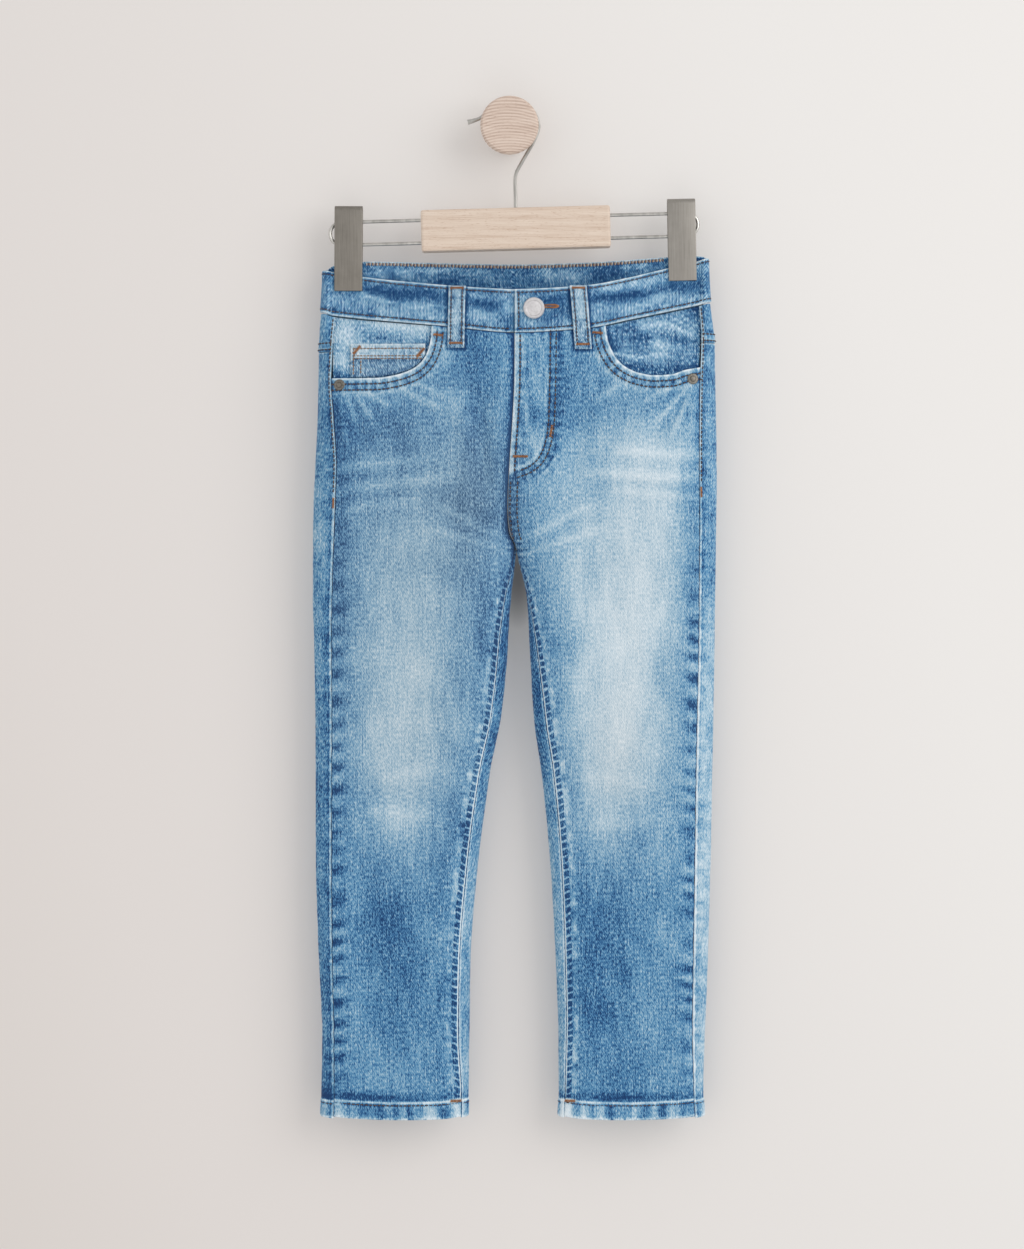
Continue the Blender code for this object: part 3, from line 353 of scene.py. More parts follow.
# ---------------------------------------------------------------------------------------------
# Relief and wash that follow the seams
# ---------------------------------------------------------------------------------------------
def soft_noise(x, y, size, seed):
    """Smooth noise from -1 to 1 with bumps of about the given size."""
    grid = np.random.RandomState(seed).uniform(-1.0, 1.0, (64, 64))
    gx = np.asarray(x, float) / size + 640.0
    gy = np.asarray(y, float) / size + 640.0
    ix = np.floor(gx).astype(int)
    iy = np.floor(gy).astype(int)
    fx = smooth_step(gx - ix)
    fy = smooth_step(gy - iy)
    corner = [grid[(ix + i) % 64, (iy + j) % 64] for i in (0, 1) for j in (0, 1)]
    low = corner[0] * (1 - fy) + corner[1] * fy
    high = corner[2] * (1 - fy) + corner[3] * fy
    return low * (1 - fx) + high * fx


def ripple(along, spacing, seed):
    """Uneven puckers along a seam, from -1 to 1."""
    zero = np.zeros(np.shape(along))
    drift = soft_noise(along, zero, spacing * 2.3, seed)
    swell = soft_noise(along, zero + 9.0, spacing * 1.4, seed + 1)
    return np.sin(2 * math.pi * (along / spacing + 0.5 * drift)) * (0.62 + 0.38 * swell)


def near(distance, width):
    """1 at a line and 0 well away from it."""
    return np.exp(-((distance / width) ** 2))


def within(distance, edge, softness=0.6):
    """1 where a distance is below an edge, with a soft end."""
    return smooth_step((edge - distance) / softness + 0.5)


def line_distance(across, drop, line):
    """Distance to a line of points, and the length along it of the nearest place."""
    best = np.full(np.shape(across), 1e9)
    along = np.zeros(np.shape(across))
    passed = 0.0
    for (x1, d1), (x2, d2) in zip(line, line[1:]):
        length = math.hypot(x2 - x1, d2 - d1)
        share = np.clip(((across - x1) * (x2 - x1) + (drop - d1) * (d2 - d1)) / length**2, 0, 1)
        distance = np.hypot(across - x1 - share * (x2 - x1), drop - d1 - share * (d2 - d1))
        closer = distance < best
        best = np.where(closer, distance, best)
        along = np.where(closer, passed + share * length, along)
        passed += length
    return best, along


def rounded_line(points, spacing=2.0):
    """A smooth line of points through a few places."""
    points = np.array(points, float)
    lengths = lengths_along(points)
    even = np.linspace(0.0, lengths[-1], max(3, int(lengths[-1] / spacing)))
    return np.stack([np.interp(even, *dense_curve(lengths, points[:, k], 0.4)) for k in (0, 1)], -1)


def beside(line, distance):
    """A line moved sideways, to the left of its direction for a positive distance."""
    way = unit(np.gradient(line, axis=0))
    return line + np.stack([-way[:, 1], way[:, 0]], -1) * distance


SCOOP_LINES = {half: rounded_line(SCOOPS[half]) for half in SCOOPS}
SCOOP_HEM = 9.6
FELLED = 6.0
HEM_TURN_UP = 11.6

# The first random seed of each kind of piece, for left and right or, on the band, front and back.
SEEDS = {
    "front": (11, 31), "back": (51, 61), "hem": (71, 75), "band": (81, 85), "facing": (91, 95),
    "coin": 101, "back_pocket": (111, 115), "loop": 121,
}

# The stitched edge of the fly, from the waistband round to the middle seam.
FLY_LINE = rounded_line(
    ((33.6, 146.0), (33.4, 165.0), (33.0, 190.0), (32.2, 214.0), (29.6, 230.0), (24.0, 242.5),
     (15.0, 250.0), (2.0, 254.5)), 1.5)

# Fine creases, worn pale on top: whiskers at the pockets and hips, and drag lines at the crotch.
CREASES = {
    "front": (
        (-118.5, 190, -110, 214, 2.2, 0.55), (-113.5, 189, -99, 211, 2.0, 0.45),
        (-121.0, 196, -117.5, 228, 2.2, 0.45), (-107, 191, -84, 203, 2.4, 0.4),
        (-74, 192, -50, 204, 2.6, 0.45), (-66, 187, -44, 196, 2.2, 0.35),
        (128.5, 188, 106, 213, 2.0, 0.6), (130.5, 192, 117, 222, 2.0, 0.5),
        (133.0, 194, 130, 226, 2.0, 0.4), (120, 187, 96, 199, 2.2, 0.45),
        (80, 186, 62, 198, 2.4, 0.4), (-124, 246, -60, 240, 3.6, 0.35),
        (-122, 262, -46, 254, 4.0, 0.4), (-118, 276, -66, 270, 3.4, 0.3),
        (132, 238, 76, 234, 3.6, 0.35), (130, 254, 56, 250, 4.0, 0.4),
        (134, 268, 74, 262, 3.4, 0.3), (-6, 296, -54, 272, 2.6, 0.35),
        (-5, 304, -60, 290, 3.0, 0.3), (10, 298, 60, 272, 2.6, 0.35), (12, 308, 66, 290, 3.0, 0.3),
        (-44, 462, -92, 470, 5.0, 0.18), (-52, 498, -104, 492, 5.0, 0.18),
        (50, 468, 104, 474, 5.0, 0.18), (56, 504, 112, 498, 5.0, 0.18),
    ),
    "back": (
        (-10, 300, -72, 326, 3.2, 0.4), (-12, 312, -80, 344, 3.4, 0.35),
        (18, 300, 80, 326, 3.2, 0.4), (20, 312, 88, 344, 3.4, 0.35),
        (-34, 446, -104, 452, 4.0, 0.4), (-40, 462, -112, 470, 4.0, 0.4),
        (-44, 480, -104, 486, 4.0, 0.35), (40, 448, 110, 444, 4.0, 0.4),
        (44, 464, 116, 458, 4.0, 0.4), (46, 484, 108, 478, 4.0, 0.35),
    ),
}

# The worn stripe down the front of each leg: drop, centre and half width in millimetres, and how
# much paler it is there.
LEG_FADE = {
    "left": (
        (270, -76, 44, 0.00), (300, -74, 44, 0.10), (340, -74, 42, 0.18), (400, -76, 34, 0.22),
        (450, -80, 38, 0.22), (490, -82, 28, 0.20), (525, -78, 22, 0.08), (560, -90, 28, -0.18),
        (590, -86, 24, -0.20), (620, -80, 24, -0.14), (680, -70, 26, 0.00),
    ),
    "right": (
        (200, 92, 32, 0.00), (228, 94, 36, 0.32), (262, 98, 36, 0.32), (306, 94, 36, 0.38),
        (350, 86, 38, 0.46), (390, 80, 32, 0.46), (434, 78, 30, 0.38), (480, 72, 22, 0.25),
        (520, 70, 18, 0.02), (570, 64, 18, -0.15), (640, 64, 20, -0.15), (690, 76, 26, -0.08),
    ),
}

# Other worn places, and painted shade where the front is darker under the left pocket, beside the fly
# and at the crotch: centres, half widths and half heights in millimetres, and how much paler they are.
WORN_AND_SHADED = {
    "front": (
        (-92, 214, 34, 16, -0.20), (-44, 206, 12, 12, 0.15), (-68, 252, 44, 20, -0.05),
        (-23, 200, 10, 55, -0.20), (-26, 284, 20, 20, -0.18), (-24, 340, 12, 34, -0.18),
        (-123, 330, 12, 110, -0.15), (-46, 500, 12, 26, -0.10), (24, 250, 14, 24, 0.05),
        (42, 186, 12, 26, -0.12), (124, 236, 12, 16, 0.10), (48, 300, 20, 60, 0.16),
        (134, 300, 10, 60, -0.08), (40, 380, 10, 44, -0.06), (48, 440, 10, 50, 0.10),
        (112, 468, 22, 52, 0.13),
    ),
    "back": (
        (-72, 306, 44, 56, 0.25), (80, 306, 44, 56, 0.25), (-74, 400, 36, 70, 0.15),
        (82, 400, 36, 70, 0.15), (-80, 580, 40, 80, -0.08), (86, 580, 40, 80, -0.08),
    ),
}

# Dark and pale strokes on each face of the waistband, by the distance below its top edge.
BAND_STROKES = {
    "front": (
        (-106, 8.5, -44, 8.0, 4.4, -0.26), (-132, 15.0, -108, 13.0, 3.0, -0.10),
        (-108, 14.2, -82, 15.6, 1.5, 0.24), (-82, 15.6, -44, 16.6, 1.4, 0.14),
        (-104, 22.0, -46, 22.0, 4.4, 0.10), (-30, 10.5, -6, 12.0, 3.0, -0.20),
        (-32, 5.2, -6, 5.6, 2.0, 0.10), (-30, 20.5, -8, 20.5, 3.4, 0.12),
        (7, 11.0, 12, 12.0, 5.0, 0.05), (26, 9.0, 44, 9.0, 5.0, -0.16),
        (26, 20.0, 44, 19.0, 4.0, -0.10), (9, 24.0, 20, 24.0, 3.0, 0.16),
        (60, 5.0, 112, 5.6, 3.4, 0.20), (59, 10.6, 114, 15.0, 2.6, -0.22),
        (114, 15.0, 142, 19.0, 3.8, -0.17), (60, 20.0, 120, 22.0, 4.0, 0.12),
        (118, 5.0, 142, 7.0, 3.0, 0.10),
    ),
    "back": (
        (-98, 5.0, -88, 12.0, 2.6, 0.16), (-84, 5.0, -72, 12.0, 2.6, 0.18),
        (-64, 5.0, -22, 5.0, 2.4, 0.14), (-60, 15.0, -20, 15.0, 4.0, -0.10),
        (-14, 6.0, 14, 12.0, 4.0, -0.06), (22, 7.0, 50, 8.0, 4.6, 0.20),
        (60, 10.0, 84, 12.0, 4.0, -0.10), (84, 5.0, 100, 5.0, 2.6, 0.18),
    ),
}


def oval_places(rows, across, drop):
    """The sum of soft ovals: centre, half width, half height and strength."""
    total = np.zeros(np.shape(across))
    for x, d, wide, high, gain in rows:
        total += gain * np.exp(-0.8 * (((across - x) / wide) ** 2 + ((drop - d) / high) ** 2))
    return total


def worn_and_shaded_places(front, across, drop):
    """How much paler or darker the wash is at broad places, some of the darker ones being painted shade."""
    places = {face: oval_places(rows, across, drop) for face, rows in WORN_AND_SHADED.items()}
    return np.where(front, places["front"], places["back"])


# Places on the fronts that are worn greyer: centres, half widths, half heights, and how grey.
GREY = (
    (-70, 320, 52, 110, 0.5), (-24, 262, 24, 46, 0.3), (-74, 450, 34, 60, 0.35),
    (84, 330, 40, 120, 0.3), (74, 460, 26, 50, 0.4),
)


# Close outside a loop the materials darken the cloth: painted shade beside the loop, over darker unfaded
# cloth there.
def loop_distance(front, across, drop):
    """Distance outside the nearest belt loop's outline."""
    best = np.full(np.shape(across), FAR_AWAY)
    for _, face, top_across, low_across in LOOPS:
        top = float(waist(face + "_top", top_across))
        end = float(waist(face + "_bottom", low_across)) + LOOP_REACH
        centre = top_across + (low_across - top_across) * (drop - top) / (end - top)
        outside = np.maximum(np.abs(across - centre) - LOOP_WIDTH / 2, drop - end)
        best = np.where(front == (face == "front"), np.minimum(best, outside), best)
    return best


def hem_shift(drop, share):
    """The hem bows down a little in the middle of each face."""
    rise = smooth_step((drop - HEM_BOW_START) / (HEM_BOTTOM - HEM_BOW_START))
    return HEM_BOW * (1.0 - (2.0 * share - 1.0) ** 2) * rise


def hem_relief(half, around, above):
    """Relief and wash of the turned-up hem: a worn bottom edge and upright blotches."""
    seed = SEEDS["hem"][half == "right"]
    turned = within(above, HEM_TURN_UP)
    rope = ripple(around + above * 0.15, 13.0, seed)
    blotch = soft_noise(around, above * 0.3, 6.0, seed + 2)
    groove = near(above - HEM_TURN_UP + 1.2, 0.9)
    rise = turned * (0.55 + 0.12 * rope) - 0.35 * groove
    wash = turned * (0.18 * rope + 0.30 * blotch + 0.04)
    shade = 0.65 + 0.35 * soft_noise(around, above * 0.0, 18.0, seed + 3)
    wash -= 0.36 * shade * near(above - HEM_TURN_UP - 4.0, 3.6) * (above > HEM_TURN_UP)
    return rise, wash


def leg_fade(half, across, drop):
    """How much paler the worn stripe down a leg's front is."""
    drops, centres, widths, paler = np.transpose(LEG_FADE[half])
    centre = np.interp(drop, drops, centres)
    width = np.interp(drop, drops, widths)
    return np.interp(drop, drops, paler) * near(across - centre, width)


def front_cloth(half, arc, drop):
    """Relief, wash and seam distances of a front panel."""
    ring = Ring(half, drop)
    seed = SEEDS["front"][half == "right"]
    across = ring.across(arc)
    from_out = arc - ring.outseam_arc()
    from_in = ring.total - ring.inseam_rest() - arc
    scoop, along_scoop = line_distance(across, drop, SCOOP_LINES[half])
    from_band = drop - waist("front_bottom", across)
    in_leg = smooth_step((drop - CROTCH_DROP) / 24.0)
    low = smooth_step((drop - 300.0) / 70.0)

    rise = 0.5 * soft_noise(across, drop * 0.55, 30.0, seed) * smooth_step(from_out / 20.0)
    rise += 0.16 * soft_noise(across, drop, 9.0, seed + 1)
    creases = line_relief(CREASES, True, across, drop)
    rise += creases

    tuck = ripple(drop + 0.2 * from_out, 15.5, seed + 2)
    pucker = tuck * near(from_out - 3.0, 8.5) * (0.35 + 0.65 * low)
    rise += 0.7 * pucker
    rungs = ripple(drop + 0.45 * from_in, 5.6, seed + 3)
    ladder = rungs * within(from_in, FELLED) * in_leg
    rise += within(from_in, FELLED) * 0.4 * in_leg + 0.34 * ladder
    rise -= 0.3 * near(from_in - 5.6, 0.7) * in_leg
    outside_ladder = ripple(drop + 2.0, 8.5, seed + 4) * near(from_in - 9.0, 4.0) * in_leg
    rise += 0.25 * outside_ladder

    on_scoop = within(scoop, SCOOP_HEM)
    scoop_pucker = ripple(along_scoop, 7.0, seed + 5)
    rise += on_scoop * (0.5 + 0.16 * scoop_pucker) - 0.25 * near(scoop - 4.3, 0.7)
    rise -= 0.25 * near(scoop - 8.6, 0.7)
    band_pucker = ripple(across, 8.0, seed + 6) * near(from_band, 7.0)
    rise += 0.3 * band_pucker

    wash = 0.38 + leg_fade(half, across, drop) + worn_and_shaded_places(True, across, drop)
    wash += 0.06 * soft_noise(across, drop * 0.6, 16.0, seed + 7)
    wash += 0.05 * soft_noise(across, drop * 0.25, 5.0, seed + 8)
    wash += 0.42 * creases
    uneven = 0.75 + 0.35 * soft_noise(across * 0.0, drop, 24.0, seed + 13)
    depth = (0.30 + 0.70 * low) * uneven
    wash -= 0.46 * depth * np.maximum(-tuck, 0.0) * near(from_out - 4.0, 6.5)
    wash += 0.22 * depth * np.maximum(tuck, 0.0) * near(from_out - 4.0, 7.0)
    wash -= 0.06 * near(from_out - 5.0, 9.0)
    wash += 0.10 * outside_ladder - 0.05 * in_leg * near(from_in - 15.0, 7.0)
    wash -= 0.16 * near(drop - 345.0, 50.0) * near(from_in, 10.0)
    wash += on_scoop * (0.22 * scoop_pucker + 0.02)
    wash += 0.14 * near(scoop - 11.0, 1.8) * (1.0 + scoop_pucker)
    # The wash darkens slightly under the waistband: painted shade under its edge.
    wash += 0.2 * band_pucker - 0.04 * near(from_band, 5.0)

    fly = np.full(np.shape(arc), FAR_AWAY)
    flap = np.zeros(np.shape(arc))
    if half == "right":
        fly, along_fly = line_distance(across, drop, FLY_LINE)
        from_middle = across - ring.inner
        flap = within(across, 33.0) * within(drop, 252.0, 3.0)
        rise += 0.45 * flap - 0.3 * near(fly, 0.7) - 0.3 * near(fly - 4.2, 0.7) * flap
        fly_pucker = ripple(along_fly, 6.5, seed + 9) * near(fly - 2.0, 5.0)
        rise += 0.2 * fly_pucker
        seam = near(from_middle - 3.4, 4.6) * smooth_step((drop - 250.0) / 6.0) * (1.0 - in_leg)
        seam_pucker = ripple(drop, 5.5, seed + 10) * seam
        rise += 0.4 * seam + 0.25 * seam_pucker
        wash += 0.24 * fly_pucker - 0.16 * near(fly - 2.0, 3.4)
        wash += 0.22 * near(fly - 6.4, 1.4) * flap + 0.26 * seam_pucker - 0.10 * seam
        streak = soft_noise(across * 2.4, drop * 0.4, 6.0, seed + 12)
        wash += flap * (0.16 * streak + 0.02)
        wash += 0.14 * ripple(drop, 9.0, seed + 14) * near(from_middle - 5.0, 6.0) * flap
    else:
        from_middle = ring.inner - across
        # Left of the fly the cloth sinks into a hollow, and its wash darkens there and at the middle seam:
        # painted shade under the fly's edge.
        fly_hollow_and_painted_shade = near(from_middle, 3.8) * (1.0 - in_leg)
        rise -= 0.3 * fly_hollow_and_painted_shade
        wash -= 0.32 * fly_hollow_and_painted_shade + 0.30 * near(from_middle - 0.4, 1.3) * (1.0 - in_leg)
    lines = {
        "outseam": from_out, "inseam": from_in, "scoop": scoop, "band": from_band, "leg": in_leg,
        "fly": fly, "flap": flap, "loop": loop_distance(True, across, drop),
        "inside": np.minimum(oval_places(GREY, across, drop), 0.6),
    }
    return rise, wash, lines


def back_cloth(half, arc, drop):
    """Relief, wash and seam distances of a back panel or yoke."""
    ring, front, across = settle(half, "back", arc, drop)
    seed = SEEDS["back"][half == "right"]
    from_out = arc + ring.outseam_arc()
    from_in = ring.total + ring.inseam_rest() - arc
    in_leg = smooth_step((drop - CROTCH_DROP) / 24.0)
    low = smooth_step((drop - 280.0) / 60.0)
    on_back = ~front
    rise = 0.5 * soft_noise(across, drop * 0.5, 32.0, seed) * on_back
    rise += 0.14 * soft_noise(across, drop, 9.0, seed + 1)
    creases = line_relief(CREASES, front, across, drop)
    rise += creases
    pucker = ripple(drop, 11.0, seed + 2) * near(from_out - 3.0, 7.0)
    rise += 0.4 * pucker * low + 0.18 * pucker
    welt = within(from_out, 4.0) * (1.0 - low)
    rise += 0.4 * welt - 0.3 * near(from_out - 1.6, 0.6) * (1.0 - low)
    ladder = ripple(drop, 7.2, seed + 3) * near(from_in - 3.0, 4.0) * in_leg
    rise += 0.3 * ladder
    middle = near(from_in - 3.6, 4.4) * (1.0 - in_leg)
    middle_pucker = ripple(drop, 6.0, seed + 4) * middle
    rise += (0.35 * middle + 0.22 * middle_pucker) * (half == "right")
    from_yoke = drop - yoke_seam_drop(across)
    yoke_pucker = ripple(across, 8.0, seed + 5) * near(from_yoke, 6.0)
    rise += 0.25 * yoke_pucker + 0.35 * near(from_yoke + 3.4, 4.0) * (from_yoke < 0)

    wash = 0.36 + worn_and_shaded_places(front, across, drop)
    wash += 0.08 * soft_noise(across, drop * 0.6, 15.0, seed + 7)
    wash += 0.40 * np.maximum(creases, 0.0)
    side_strip = front & (arc < 0)
    blotch = soft_noise(across * 2.0, drop, 7.0, seed + 8)
    inner_strip = front & (arc > ring.total)
    if half == "left":
        fade = 0.07 - 0.17 * smooth_step((drop - 420.0) / 80.0)
    else:
        fade = 0.04 + 0.18 * smooth_step((drop - 300.0) / 100.0)
    wash += side_strip * (fade + 0.10 * blotch)
    # The inner strips, which lie deeper between the legs, darken from the crotch down the thighs: painted
    # shade.
    wash += inner_strip * (0.08 + 0.08 * blotch - 0.30 * near(drop - 375.0, 95.0))
    wash += 0.10 * pucker - 0.06 * near(from_out - 4.0, 2.0)
    wash += 0.22 * ladder * on_back - 0.08 * in_leg * near(from_in, 14.0) * on_back
    wash += 0.2 * middle_pucker
    wash += 0.16 * yoke_pucker
    lines = {
        "outseam": from_out, "inseam": from_in, "leg": in_leg, "yoke": from_yoke,
        "loop": loop_distance(front, across, drop),
    }
    return rise, wash, lines


def band_cloth(half, face, arc, drop):
    """Relief, wash and edge distances of the waistband."""
    seed = SEEDS["band"][face == "back"]
    _, front, across = settle(half, face, arc, drop)
    from_top = drop - face_waist("top", front, across)
    from_low = face_waist("bottom", front, across) - drop
    slant = ripple(across + drop * 0.8, 8.5, seed)
    rise = 0.22 * soft_noise(across, drop, 14.0, seed + 1)
    rise += 0.24 * slant * (near(from_top - 2.0, 4.5) + near(from_low - 2.0, 4.5))
    rise -= 0.3 * near(from_top - 2.2, 0.6) + 0.3 * near(from_low - 2.2, 0.6)
    wash = np.where(front, 0.33, 0.21) + 0.10 * soft_noise(across, drop, 7.0, seed + 2)
    wash += 0.10 * soft_noise(across, drop * 3.0, 22.0, seed + 3)
    wash += 0.12 * slant * (near(from_top - 2.0, 5.0) + near(from_low - 2.0, 5.0))
    wavy = 1.4 * soft_noise(across, drop * 0.0, 11.0, seed + 4)
    wash += 1.3 * line_relief(BAND_STROKES, front, across, from_top + wavy)
    if half == "right" and face == "front":
        wash += 0.45 * within(across - section("inner_right", drop), 1.5, 0.8)
    lines = {"top": from_top, "bottom": from_low, "loop": loop_distance(front, across, drop)}
    return rise, wash, lines


# ---------------------------------------------------------------------------------------------
# Materials
# ---------------------------------------------------------------------------------------------
def srgb(colour):
    """A linear colour from 8-bit display values."""
    return [(c / 255 / 12.92) if c <= 10.3 else ((c / 255 + 0.055) / 1.055) ** 2.4 for c in colour]


class Value:
    """A shader value that formulas can be written with."""

    def __init__(self, tree, socket):
        self.tree = tree
        self.socket = socket

    def math(self, operation, other=None):
        """The result of a Math node on this value and a number or another value."""
        node = self.tree.nodes.new("ShaderNodeMath")
        node.operation = operation
        join(self.tree, self, node.inputs[0])
        if isinstance(other, Value):
            join(self.tree, other, node.inputs[1])
        elif other is not None:
            node.inputs[1].default_value = other
        return Value(self.tree, node.outputs[0])

    def __add__(self, other):
        return self.math("ADD", other)

    def __sub__(self, other):
        return self.math("SUBTRACT", other)

    def __mul__(self, other):
        return self.math("MULTIPLY", other)

    def line(self, centre, width):
        """1 on a line at a distance, and 0 well away from it."""
        aside = (self - centre) * (1.0 / width)
        return (aside * aside * -1.0).math("EXPONENT")

    def above(self, edge, softness=0.5):
        """0 below an edge and 1 above it, with a soft start."""
        return ((self - edge) * (1.0 / softness) + 0.5).math("MAXIMUM", 0.0).math("MINIMUM", 1.0)

    def between(self, low, high, softness=0.5):
        """1 between two edges."""
        return self.above(low, softness) - self.above(high, softness)

    def ramp(self, stops):
        """The colour of a Color Ramp through places and 8-bit display colours."""
        node = self.tree.nodes.new("ShaderNodeValToRGB")
        band = node.color_ramp.elements
        band.remove(band[-1])
        for k, (place, colour) in enumerate(stops):
            stop = band.new(place) if k else band[0]
            stop.position = place
            stop.color = (*srgb(colour), 1.0)
        join(self.tree, self, node.inputs[0])
        return node.outputs["Color"]


def join(tree, source, target):
    """Link a socket, or a value's socket, to an input."""
    tree.links.new(source.socket if isinstance(source, Value) else source, target)


def parts_of(tree, vector):
    """The X, Y and Z of a vector as values."""
    node = tree.nodes.new("ShaderNodeSeparateXYZ")
    join(tree, vector, node.inputs[0])
    return [Value(tree, socket) for socket in node.outputs]


def stretched(tree, vector, scale, turn=0.0):
    """A vector scaled along its axes and turned about Z."""
    node = tree.nodes.new("ShaderNodeMapping")
    node.inputs["Scale"].default_value = scale
    node.inputs["Rotation"].default_value = (0.0, 0.0, turn)
    join(tree, vector, node.inputs["Vector"])
    return node.outputs[0]


def noise(tree, vector, scale, detail=2.0, rough=0.5):
    """The value of a Noise node on a vector scaled along its axes."""
    node = tree.nodes.new("ShaderNodeTexNoise")
    node.inputs["Scale"].default_value = 1.0
    node.inputs["Detail"].default_value = detail
    node.inputs["Roughness"].default_value = rough
    join(tree, stretched(tree, vector, scale), node.inputs["Vector"])
    return Value(tree, node.outputs["Fac"])


def new_group(name, numbers, outputs):
    """A node group that reads a cloth vector and named numbers.

    What comes back is the group, the vector's socket, the numbers as values, and the end node.
    """
    group = bpy.data.node_groups.new(name, "ShaderNodeTree")
    group.interface.new_socket("Cloth", in_out="INPUT", socket_type="NodeSocketVector")
    for label, value in numbers.items():
        socket = group.interface.new_socket(label, in_out="INPUT", socket_type="NodeSocketFloat")
        socket.default_value = value
    for label, kind in outputs.items():
        group.interface.new_socket(label, in_out="OUTPUT", socket_type=kind)
    start = group.nodes.new("NodeGroupInput")
    given = {label: Value(group, start.outputs[label]) for label in numbers}
    return group, start.outputs["Cloth"], given, group.nodes.new("NodeGroupOutput")


# The threads of the twill: their scales across and along the cloth, detail and strength.
THREADS = (
    ((1000.0, 430.0, 1.0), 1.0, 1.0), ((1000.0, 50.0, 1.0), 2.0, 0.52), ((300.0, 16.0, 1.0), 2.0, 0.10),
    ((60.0, 900.0, 1.0), 1.0, 0.08), ((60.0, 45.0, 1.0), 3.0, 0.18),
)
DENIM_OUTSIDE = (
    (0.0, (20, 58, 104)), (0.18, (47, 99, 147)), (0.38, (93, 145, 182)), (0.58, (148, 181, 202)),
    (0.78, (190, 209, 221)), (1.0, (220, 231, 238)),
)
DENIM_INSIDE = ((0.0, (72, 104, 130)), (0.5, (150, 172, 185)), (1.0, (208, 214, 217)))
TWILL_ANGLE = math.radians(34)
TWILL_SCALE = 4700.0


def twill_group():
    """Washed twill: indigo and white threads whose mix follows the wash."""
    group, cloth, given, end = new_group(
        "washed_twill", {"Wash": 0.5, "Inside": 0.0, "Grain": 1.0, "Diagonal": 0.05},
        {"Color": "NodeSocketColor", "Height": "NodeSocketFloat"})
    threads = [
        (noise(group, cloth, scale, detail, 0.55) - 0.5) * gain for scale, detail, gain in THREADS
    ]
    turned = stretched(group, cloth, (1.0, 1.0, 1.0), TWILL_ANGLE)
    ridge = (parts_of(group, turned)[0] * TWILL_SCALE).math("SINE")
    mix = threads[0]
    for thread in threads[1:]:
        mix = mix + thread
    contrast = (given["Wash"] * -1.0 + 1.4).math("MAXIMUM", 0.6).math("MINIMUM", 1.25)
    mix = (mix + ridge * given["Diagonal"]) * given["Grain"] * contrast + given["Wash"]
    blend = group.nodes.new("ShaderNodeMix")
    blend.data_type = "RGBA"
    join(group, given["Inside"], blend.inputs["Factor"])
    join(group, mix.ramp(DENIM_OUTSIDE), blend.inputs["A"])
    join(group, mix.ramp(DENIM_INSIDE), blend.inputs["B"])
    join(group, blend.outputs["Result"], end.inputs["Color"])
    join(group, ridge * 0.2 + threads[0] * 0.7 + threads[1] * 0.8, end.inputs["Height"])
    return group


def lines_group(name, labels, formula):
    """A group that turns distances from seams and edges, in millimetres, into a change of wash."""
    group, cloth, values, end = new_group(
        name, dict.fromkeys(labels, FAR_AWAY), {"Wash": "NodeSocketFloat"})
    for label, scale in (("fleck", 430.0), ("patch", 110.0)):
        values[label] = (noise(group, cloth, (scale, scale, 1.0)) - 0.5) * 2.0
    over, down, _ = parts_of(group, cloth)
    values["over"] = over * (1.0 / MM)
    values["down"] = down * (1.0 / MM)
    join(group, formula(**values), end.inputs["Wash"])
    return group


def hem_lines(hem, fleck, patch):
    """A white ridge over the hem's stitches and a worn bottom edge."""
    ridge = hem.line(12.4, 0.85) * (patch * 0.4 + 0.44) - hem.line(10.4, 0.9) * 0.2
    return ridge + hem.line(0.3, 1.5) * (fleck * 0.9 + 0.34)


def ribs(place, spacing, drift):
    """A wave from -1 to 1 over a place in millimetres, which drifts with another value."""
    return (place * (2 * math.pi / spacing) + drift).math("SINE")


def front_lines(outseam, inseam, scoop, band, leg, fly, flap, hem, loop, fleck, patch, down, **_):
    """The sharp seam lines of a front panel, and the pale rungs between its inseam's rows."""
    lines = outseam.line(0.2, 0.6) * -0.34 + hem_lines(hem, fleck, patch)
    rungs = ribs(down, 5.2, inseam * 0.4 + patch * 2.6).above(0.62, 0.5)
    seam = inseam.line(0.6, 0.8) * 0.64 + inseam.between(1.5, 6.0) * (rungs * (fleck * 0.2 + 0.42) - 0.28)
    seam = seam + inseam.between(6.4, 10.5, 1.5) * (patch * 0.5 + 0.10)
    lines = lines + seam * leg * hem.above(14.0, 1.0)
    lines = lines + scoop.line(0.5, 0.9) * (fleck * 0.3 + 0.46) + scoop.between(0.8, 3.4, 1.0) * 0.10
    lines = lines - scoop.line(4.3, 0.9) * 0.16 - scoop.line(8.6, 0.9) * 0.18
    # Dark under the waistband's edge and beside the belt loops: painted shade, over the seam's joint and the
    # unfaded cloth by the loops.
    lines = lines - band.line(0.2, 0.8) * 0.26 - loop.line(0.9, 1.1) * 0.34
    row = fly.line(0.0, 0.9) * 1.6 + fly.line(4.2, 0.9) * 1.6 - fly.between(0.6, 3.6, 0.8) * patch * 3.0
    edge = inseam.between(-0.6, 3.3, 0.7) * (fleck * 0.16 + 0.20) + inseam.line(0.4, 0.6) * 0.24
    return lines + flap * (edge - inseam.line(4.1, 0.7) * 0.26 - row * 0.10)


def back_lines(outseam, inseam, leg, yoke, hem, loop, fleck, patch, **_):
    """The sharp seam lines of a back panel or yoke."""
    lines = outseam.between(-1.0, 2.0, 0.8) * (fleck * 0.14 + 0.26) - outseam.line(2.9, 0.6) * 0.10
    lines = lines + hem_lines(hem, fleck, patch)
    seam = inseam.line(0.1, 0.5) * -0.36 + inseam.line(1.5, 0.6) * 0.34
    # Darker beside the belt loops: painted shade, over unfaded cloth.
    lines = lines + seam * leg - loop.line(0.9, 1.1) * 0.34
    return lines + yoke.line(0.6, 0.6) * 0.26 + yoke.line(-2.6, 0.6) * 0.16 - yoke.line(-1.0, 0.6) * 0.14


